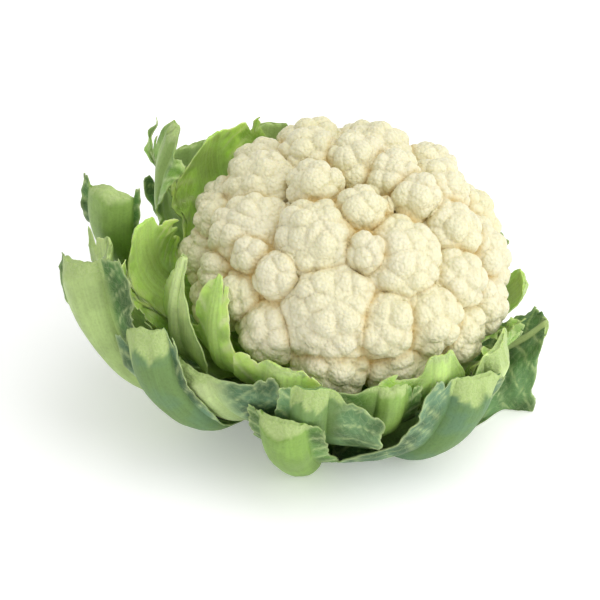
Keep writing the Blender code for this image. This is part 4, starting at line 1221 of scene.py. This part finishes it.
def frame_push(leaf):
    """How far the frame's leaf was moved straight out from its rule at each of its own grid points, read
    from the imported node, and the grid's rows and columns."""
    rows, columns = np.linspace(0.0, 1.0, FRAME_ROWS), columns_of(2, leaf.blade_steps)
    sheet, normals, thick, straight_out, _ = leaf_sheet(leaf, rows, columns, 0.0)
    corners = points_in_mm(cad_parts[leaf.name].data)
    push = np.full(sheet.shape[:2], np.nan)
    for start in (sheet + thick[..., None] * normals, sheet):
        for index in np.ndindex(push.shape):
            if not np.isnan(push[index]):
                continue
            away = corners - start[index]
            moved = away @ straight_out[index]
            missed = np.linalg.norm(away - moved[:, None] * straight_out[index], axis=1)
            missed[moved < -MATCH_TOLERANCE] = np.inf
            best = missed.argmin()
            if missed[best] < MATCH_TOLERANCE:
                push[index] = max(moved[best], 0.0)
    for _ in range(FRAME_ROWS):
        if not np.isnan(push).any():
            break
        padded = np.pad(push, 1, constant_values=np.nan)
        tall, wide = push.shape
        around = np.stack([padded[i : i + tall, j : j + wide] for i in range(3) for j in range(3)])
        known = ~np.isnan(around)
        mean = np.where(known, around, 0.0).sum(axis=0) / np.maximum(known.sum(axis=0), 1)
        push = np.where(np.isnan(push) & known.any(axis=0), mean, push)
    return push, rows, columns


def finer(field, rows, columns, new_rows, new_columns):
    """A coarse grid's values on a finer grid."""
    wide = np.array([np.interp(new_columns, columns, row) for row in field])
    tall = np.array([np.interp(new_rows, rows, column) for column in wide.T]).T
    for _ in range(2):
        padded = np.pad(tall, ((2, 2), (0, 0)), mode="edge")
        tall = sum(padded[k : k + tall.shape[0]] for k in range(5)) / 5.0
    return tall


def side_veins(across, along, spacing, broad, seed):
    """Masks of the side veins and of the finer ones that leave them, and the swelling between veins."""
    bent = along - VEIN_LEAN * across + VEIN_BEND * across**2
    bent = bent + VEIN_WOBBLE * wobble(along / 9.0 + across / 14.0, seed)
    turn = bent / spacing
    off = np.abs(turn - np.round(turn)) * spacing
    main = np.exp(-((off / (broad * (0.28 + 0.6 * np.exp(-across / 12.0)))) ** 2))
    apart = spacing * SMALL_VEIN_SPACING
    crossing = (along + 0.9 * across + 1.2 * wobble(across / 5.0, seed + 1)) / apart
    small = np.exp(-((np.abs(crossing - np.round(crossing)) * apart / SMALL_VEIN_WIDTH) ** 2))
    swelling = 0.5 - 0.5 * np.cos(2 * math.pi * turn)
    return np.clip(main, 0.0, 1.0), small * smooth_step(1.0, 5.0, across), swelling


def pulled_back(fields, rows, ends):
    """Fields of a grid with each column's rows squeezed so that it ends at its own share of the length."""
    made = []
    for field in fields:
        flat = field.reshape(field.shape[0], field.shape[1], -1)
        new = np.empty_like(flat)
        for column in range(flat.shape[1]):
            for part in range(flat.shape[2]):
                new[:, column, part] = np.interp(rows * ends[column], rows, flat[:, column, part])
        made.append(new.reshape(field.shape))
    return made


def leaf_faces(tall, wide, cut_rows):
    """Faces of a closed leaf: outer grid, inner grid, a cut end with rows of its own, root and sides."""
    inner, cap = tall * wide, 2 * tall * wide
    faces = []
    for i in range(tall - 1):
        for j in range(wide - 1):
            a, b = i * wide + j, i * wide + j + 1
            c, d = b + wide, a + wide
            faces.append((a, b, c, d))
            faces.append((inner + d, inner + c, inner + b, inner + a))
    top = [[(tall - 1) * wide + j for j in range(wide)]]
    top += [[cap + k * wide + j for j in range(wide)] for k in range(cut_rows)]
    top += [[inner + (tall - 1) * wide + j for j in range(wide)]]
    for low, high in zip(top, top[1:]):
        for j in range(wide - 1):
            faces.append((low[j], low[j + 1], high[j + 1], high[j]))
    for j in range(wide - 1):
        faces.append((inner + j, inner + j + 1, j + 1, j))
    for i in range(tall - 1):
        left = [i * wide, (i + 1) * wide, inner + (i + 1) * wide, inner + i * wide]
        right = [i * wide + wide - 1, (i + 1) * wide + wide - 1]
        right += [inner + (i + 1) * wide + wide - 1, inner + i * wide + wide - 1]
        if i == tall - 2:
            left[2:2] = [row[0] for row in top[1:-1]]
            right[2:2] = [row[-1] for row in top[1:-1]]
        faces.append(tuple(left))
        faces.append(tuple(right[::-1]))
    return faces


def blade_relief(leaf, settings, rows, columns, along, beyond, on_blade, swelling, vein):
    """How far the skin stands off the leaf's sheet: veins, puckers, ruffles and frills on the blades, ridges
    on the rib."""
    seed = leaf_seed(leaf)
    side = np.abs(columns)[None, :]
    relief = settings.vein_relief / MM * vein + settings.pucker / MM * (swelling - 0.5) * on_blade
    ragged = smooth_step(*RUFFLE_SPAN, side) ** 2 * leaf.ruffle
    relief = relief + ragged * wobble(along / RUFFLE_WAVES[0] + beyond / RUFFLE_WAVES[1], seed + 3)
    frilled = FRILL_SWING * leaf.frill * smooth_step(*FRILL_SPAN, side)
    relief = relief + frilled * np.sin(along / FRILL_WAVE + 2.0 * wobble(along / 9.0, seed + 4))
    ridges = RIB_RIDGES * wobble(columns[None, :] * 16.0 + rows[:, None] * 2.0, seed + 5)
    ridges = ridges + RIB_WAVES * wobble(along / 16.0, seed + 6)
    return relief + ridges * (1.0 - on_blade) * smooth_step(0.1, 0.3, rows)[:, None]


def shaved_share(leaf, rows, columns, on_blade):
    """How deep the cut has shaved the rib's back near its end, from 0 to 1."""
    start = 1.0 - leaf.shave * (1.0 + 0.35 * wobble(columns * 9.0, leaf_seed(leaf) + 12))[None, :]
    share = np.clip((rows[:, None] - start) / np.maximum(1.0 - start, 1e-3), 0.0, 1.0)
    return share * (1.0 - on_blade)


def column_ends(leaf, columns):
    """The share of the leaf's length at which each column ends: torn blades and an uneven cut."""
    seed = leaf_seed(leaf)
    off_rib = smooth_step(*TORN_SPAN, np.abs(columns))
    count, depth, width = TOP_NOTCHES
    ragged = 0.45 + notches((columns + 1.0) / 2.0, seed + 7, count, depth, width)
    torn = max(leaf.tear, 0.0) * off_rib * ragged
    torn = torn + 0.006 * wobble(columns * 30.0, seed + 8) * off_rib
    torn = torn + max(-leaf.tear, 0.0) * (0.4 + 2.4 * columns**2) * (1.0 - off_rib)
    return np.clip(1.0 - torn - 0.008 * (1 + wobble(columns * 7.0, seed + 9)), LEAST_LENGTH, 1.0)


def cut_end(leaf, columns, outer, inner):
    """Rounds the rims of both faces where the leaf is cut, and gives the rows of points across the slightly
    hollow cut and how thick the leaf is there."""
    end_dir = outer[-1] - outer[-3]
    end_dir /= np.linalg.norm(end_dir, axis=1, keepdims=True)
    through = inner[-1] - outer[-1]
    deep = np.linalg.norm(through, axis=1)
    rounded = np.minimum(RIM_ROUNDING, 0.2 * deep)
    outer[-1] += (rounded / deep)[:, None] * through * 0.6
    inner[-1] -= (rounded / deep)[:, None] * through * 0.6
    caps = []
    for share in CUT_SHARES:
        lip = rounded * (1.0 - 2.0 * math.sin(math.pi * share))
        dish = CUT_DISH * np.minimum(deep, 9.0) * math.sin(math.pi * share) - lip
        rough = CUT_UNEVENNESS * wobble(columns * 22.0 + share * 9.0, leaf_seed(leaf) + 11)
        dish = dish - rough * (deep > THICK_ENOUGH_TO_CUT)
        dish[[0, -1]] = 0.0
        caps.append(outer[-1] + share * (inner[-1] - outer[-1]) - dish[:, None] * end_dir)
    return caps, deep


def store_looks(mesh, leaf, rows, green, vein, edge, opened, deep):
    """Keeps what the leaf's finish reads: each field on the outer face, the inner face and the cut end."""
    even = np.ones_like(vein)
    paler = (0.55 + 0.45 * smooth_step(0.4, 1.0, rows))[:, None]
    masks = {
        "rib": (1.0 - green, 1.0 - green),
        "vein": (vein, vein),
        "edge": (edge, edge),
        "wax": (leaf.wax * even, leaf.wax * 0.5 * even),
        "fresh": (leaf.fresh * even, leaf.fresh * even),
        "pale": (leaf.pale * paler * even, (0.2 + 0.6 * leaf.pale) * even),
    }
    for key, (outside, inside) in masks.items():
        at_cut = np.repeat(outside[-1:], len(CUT_SHARES), axis=0)
        store_field(mesh, key, np.concatenate([outside.ravel(), inside.ravel(), at_cut.ravel()]))
    flesh = np.tile((deep > THICK_ENOUGH_TO_CUT).astype(float), len(CUT_SHARES))
    store_field(mesh, "cut", np.concatenate([opened.ravel(), np.zeros(opened.size), flesh]))


def store_leaf_map(mesh, signed, along, deep):
    """Lays the leaf out flat as a UV map: across from the rib's middle, and along it, in cm."""
    flat = np.stack([signed, along], axis=-1).reshape(-1, 2)
    caps = [np.stack([signed[-1], along[-1] + deep * share], axis=-1) for share in CUT_SHARES]
    flat = np.concatenate([flat, flat + np.array([INNER_UV_SHIFT, 0.0]), *caps]) / UV_SIZE
    corners = np.zeros(len(mesh.loops), int)
    mesh.loops.foreach_get("vertex_index", corners)
    mesh.uv_layers.new(name="leaf").data.foreach_set("uv", flat[corners].ravel().astype(np.float32))


def leaf_object(leaf, settings, finish):
    """A leaf on its frame's rule, with thinner blades, veins, teeth, a torn top and a cut rib."""
    rows, columns = np.linspace(0.0, 1.0, LEAF_ROWS), columns_of(RIB_COLUMNS, BLADE_COLUMNS)
    sheet, _, thick, straight_out, reach = leaf_sheet(leaf, rows, columns, settings.tooth / MM)
    push = finer(*frame_push(leaf), rows, columns)
    sheet = sheet + push[..., None] * straight_out
    normals = face_normals(sheet)

    # Where the blades, the green and the veins are
    even = np.ones_like(reach)
    side = np.abs(columns)[None, :]
    on_blade = smooth_step(*BLADE_SPAN, side) * even
    green = smooth_step(BLADE_SPAN[0] * leaf.core, BLADE_SPAN[1] * leaf.core, side) * even
    length_along = np.linalg.norm(np.diff(sheet[:, len(columns) // 2], axis=0), axis=1).sum()
    along = rows[:, None] * length_along * even
    rib_edge = reach[:, [np.abs(columns - RIB_SHARE).argmin()]]
    beyond = np.maximum(reach - rib_edge, 0.0)
    over = np.maximum(reach - rib_edge * leaf.core, 0.0)
    side_sign = np.sign(columns)[None, :]
    spacing = settings.vein_spacing / MM
    main, small, swelling = side_veins(over, along + (side_sign > 0) * spacing / 2, spacing,
                                       1.0 + leaf.fresh, leaf_seed(leaf))
    vein = np.clip(main + SMALL_VEIN_SHARE * small, 0.0, 1.0) * green

    # The two faces
    slack = (FRAME_BLADE_THICKNESS - settings.blade_thickness / MM) * on_blade
    relief = blade_relief(leaf, settings, rows, columns, along, beyond, on_blade, swelling, vein)
    shaved = shaved_share(leaf, rows, columns, on_blade)
    inner = sheet + (slack / 2 + relief)[..., None] * normals
    outer = sheet + (thick * (1.0 - SHAVED_DEPTH * shaved**0.8) - slack / 2 + relief)[..., None] * normals
    width = beyond[:, [0]] * (columns < 0)[None, :] + beyond[:, [-1]] * (columns > 0)[None, :]
    opened = smooth_step(0.02, 0.12, shaved)
    fields = (outer, inner, reach, beyond, along, vein, on_blade, width, opened, green)
    outer, inner, reach, beyond, along, vein, on_blade, width, opened, green = pulled_back(
        fields, rows, column_ends(leaf, columns))
    outer[..., 2] = np.maximum(outer[..., 2], FOOT_HEIGHT)
    inner[..., 2] = np.maximum(inner[..., 2], FOOT_HEIGHT + settings.blade_thickness / MM)
    to_end = (1.0 - rows)[:, None] * length_along
    edge = np.exp(-np.minimum(np.maximum(width - beyond, 0.0), to_end) / EDGE_WIDTH) * on_blade
    caps, deep = cut_end(leaf, columns, outer, inner)

    mesh = bpy.data.meshes.new(leaf.name + "_skin")
    points = np.concatenate([outer.reshape(-1, 3), inner.reshape(-1, 3), *caps])
    mesh.from_pydata((points * MM).tolist(), [], leaf_faces(len(rows), len(columns), len(CUT_SHARES)))
    mesh.materials.append(finish)
    store_looks(mesh, leaf, rows, green, vein, edge, opened, deep)
    store_leaf_map(mesh, reach * side_sign, along, deep)
    mesh.shade_smooth()
    mesh.set_sharp_from_angle(angle=math.radians(SHARP_ANGLE))
    return linked_object(mesh.name, mesh)


def build_leaves(context, tone):
    settings = context.scene.cauliflower_leaves
    finish = leaf_material(tone, settings)
    for leaf in LEAVES:
        if leaf.tone != tone:
            continue
        piece = leaf_object(leaf, settings, finish)
        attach(piece, "root")
        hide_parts(leaf.name)


class CAULIFLOWER_OT_young_leaves(bpy.types.Operator):
    """Builds the tender leaves against the curd"""

    bl_idname = "cauliflower.young_leaves"
    bl_label = "Young leaves"

    def execute(self, context):
        build_leaves(context, "young")
        return {"FINISHED"}


class CAULIFLOWER_OT_middle_leaves(bpy.types.Operator):
    """Builds the leaves between the tender ones and the outer ones"""

    bl_idname = "cauliflower.middle_leaves"
    bl_label = "Middle leaves"

    def execute(self, context):
        build_leaves(context, "middle")
        return {"FINISHED"}


class CAULIFLOWER_OT_outer_leaves(bpy.types.Operator):
    """Builds the thick-ribbed outer leaves"""

    bl_idname = "cauliflower.outer_leaves"
    bl_label = "Outer leaves"

    def execute(self, context):
        build_leaves(context, "outer")
        return {"FINISHED"}


# The stage


def soft_light(name, position, size, power):
    """A round area light that faces the middle of the plant."""
    data = bpy.data.lights.new(name, "AREA")
    data.shape = "DISK"
    data.size = size
    data.energy = power
    light = linked_object(name, data)
    light.location = position
    right, back, up = np.array(position) - np.array(LIGHT_TARGET)
    turn = math.atan2(back, right) + math.pi / 2
    light.rotation_euler = (math.atan2(math.hypot(right, back), up), 0.0, turn)


class CAULIFLOWER_OT_stage(bpy.types.Operator):
    """Sets the floor, the studio light and the camera"""

    bl_idname = "cauliflower.stage"
    bl_label = "Stage"

    def execute(self, context):
        settings = context.scene.cauliflower_stage
        finish, tree, shader = new_material("floor_paper", roughness=0.9)
        spot = own_place(tree)
        noise = add_node(tree, "ShaderNodeTexNoise", {"Vector": spot, "Scale": 40.0, "Detail": 2.0})
        paper = shaded(tree, rgba(settings.floor), spread(tree, noise.outputs["Fac"], 0.3, 0.7, 0.995, 1.0))
        tree.links.new(paper, shader.inputs["Base Color"])
        set_inputs(shader, Emission_Color=(1.0, 1.0, 1.0, 1.0), Emission_Strength=FLOOR_GLOW)
        mesh = bpy.data.meshes.new("floor")
        shape = bmesh.new()
        bmesh.ops.create_grid(shape, x_segments=24, y_segments=24, size=FLOOR_HALF_SIDE)
        shape.to_mesh(mesh)
        shape.free()
        mesh.materials.append(finish)
        linked_object("floor", mesh)
        world = bpy.data.worlds.new("studio")
        world.use_nodes = True
        set_inputs(world.node_tree.nodes["Background"], Color=(1.0, 1.0, 1.0, 1.0), Strength=WORLD_LIGHT)
        context.scene.world = world
        for light in LIGHTS:
            soft_light(*light)
        data = bpy.data.cameras.new("camera")
        data.lens = settings.lens
        data.sensor_width = SENSOR_WIDTH
        data.clip_start, data.clip_end = 0.01, 50.0
        camera = linked_object("camera", data)
        back = np.array([0.0, -math.cos(settings.elevation), math.sin(settings.elevation)])
        camera.location = np.array(CAMERA_TARGET) + back * settings.distance
        camera.rotation_euler = (math.pi / 2 - settings.elevation, 0.0, 0.0)
        context.scene.camera = camera
        context.scene.view_settings.view_transform = "Standard"
        return {"FINISHED"}


OPERATORS = (
    CAULIFLOWER_OT_curd,
    CAULIFLOWER_OT_stem,
    CAULIFLOWER_OT_young_leaves,
    CAULIFLOWER_OT_middle_leaves,
    CAULIFLOWER_OT_outer_leaves,
    CAULIFLOWER_OT_stage,
)


class CAULIFLOWER_PT_panel(bpy.types.Panel):
    """Lists what builds the cauliflower and the sizes and colours that it uses"""

    bl_idname = "CAULIFLOWER_PT_panel"
    bl_label = "Cauliflower"
    bl_space_type = "VIEW_3D"
    bl_region_type = "UI"
    bl_category = "Cauliflower"

    def draw(self, context):
        for operator in OPERATORS:
            self.layout.operator(operator.bl_idname)
        for name in SETTINGS:
            group = getattr(context.scene, name)
            box = self.layout.box()
            for key in group.__annotations__:
                box.prop(group, key)


SETTINGS = {
    "cauliflower_curd": CurdSettings,
    "cauliflower_leaves": LeafSettings,
    "cauliflower_stem": StemSettings,
    "cauliflower_stage": StageSettings,
}


def register():
    for kind in (*SETTINGS.values(), *OPERATORS, CAULIFLOWER_PT_panel):
        bpy.utils.register_class(kind)
    for name, kind in SETTINGS.items():
        setattr(bpy.types.Scene, name, PointerProperty(type=kind))


def unregister():
    for name in SETTINGS:
        delattr(bpy.types.Scene, name)
    for kind in (CAULIFLOWER_PT_panel, *reversed(OPERATORS), *reversed(list(SETTINGS.values()))):
        bpy.utils.unregister_class(kind)


def main():
    register()
    bpy.ops.cauliflower.curd()
    bpy.ops.cauliflower.stem()
    bpy.ops.cauliflower.young_leaves()
    bpy.ops.cauliflower.middle_leaves()
    bpy.ops.cauliflower.outer_leaves()
    bpy.ops.cauliflower.stage()
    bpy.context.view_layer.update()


if __name__ == "__main__":
    main()
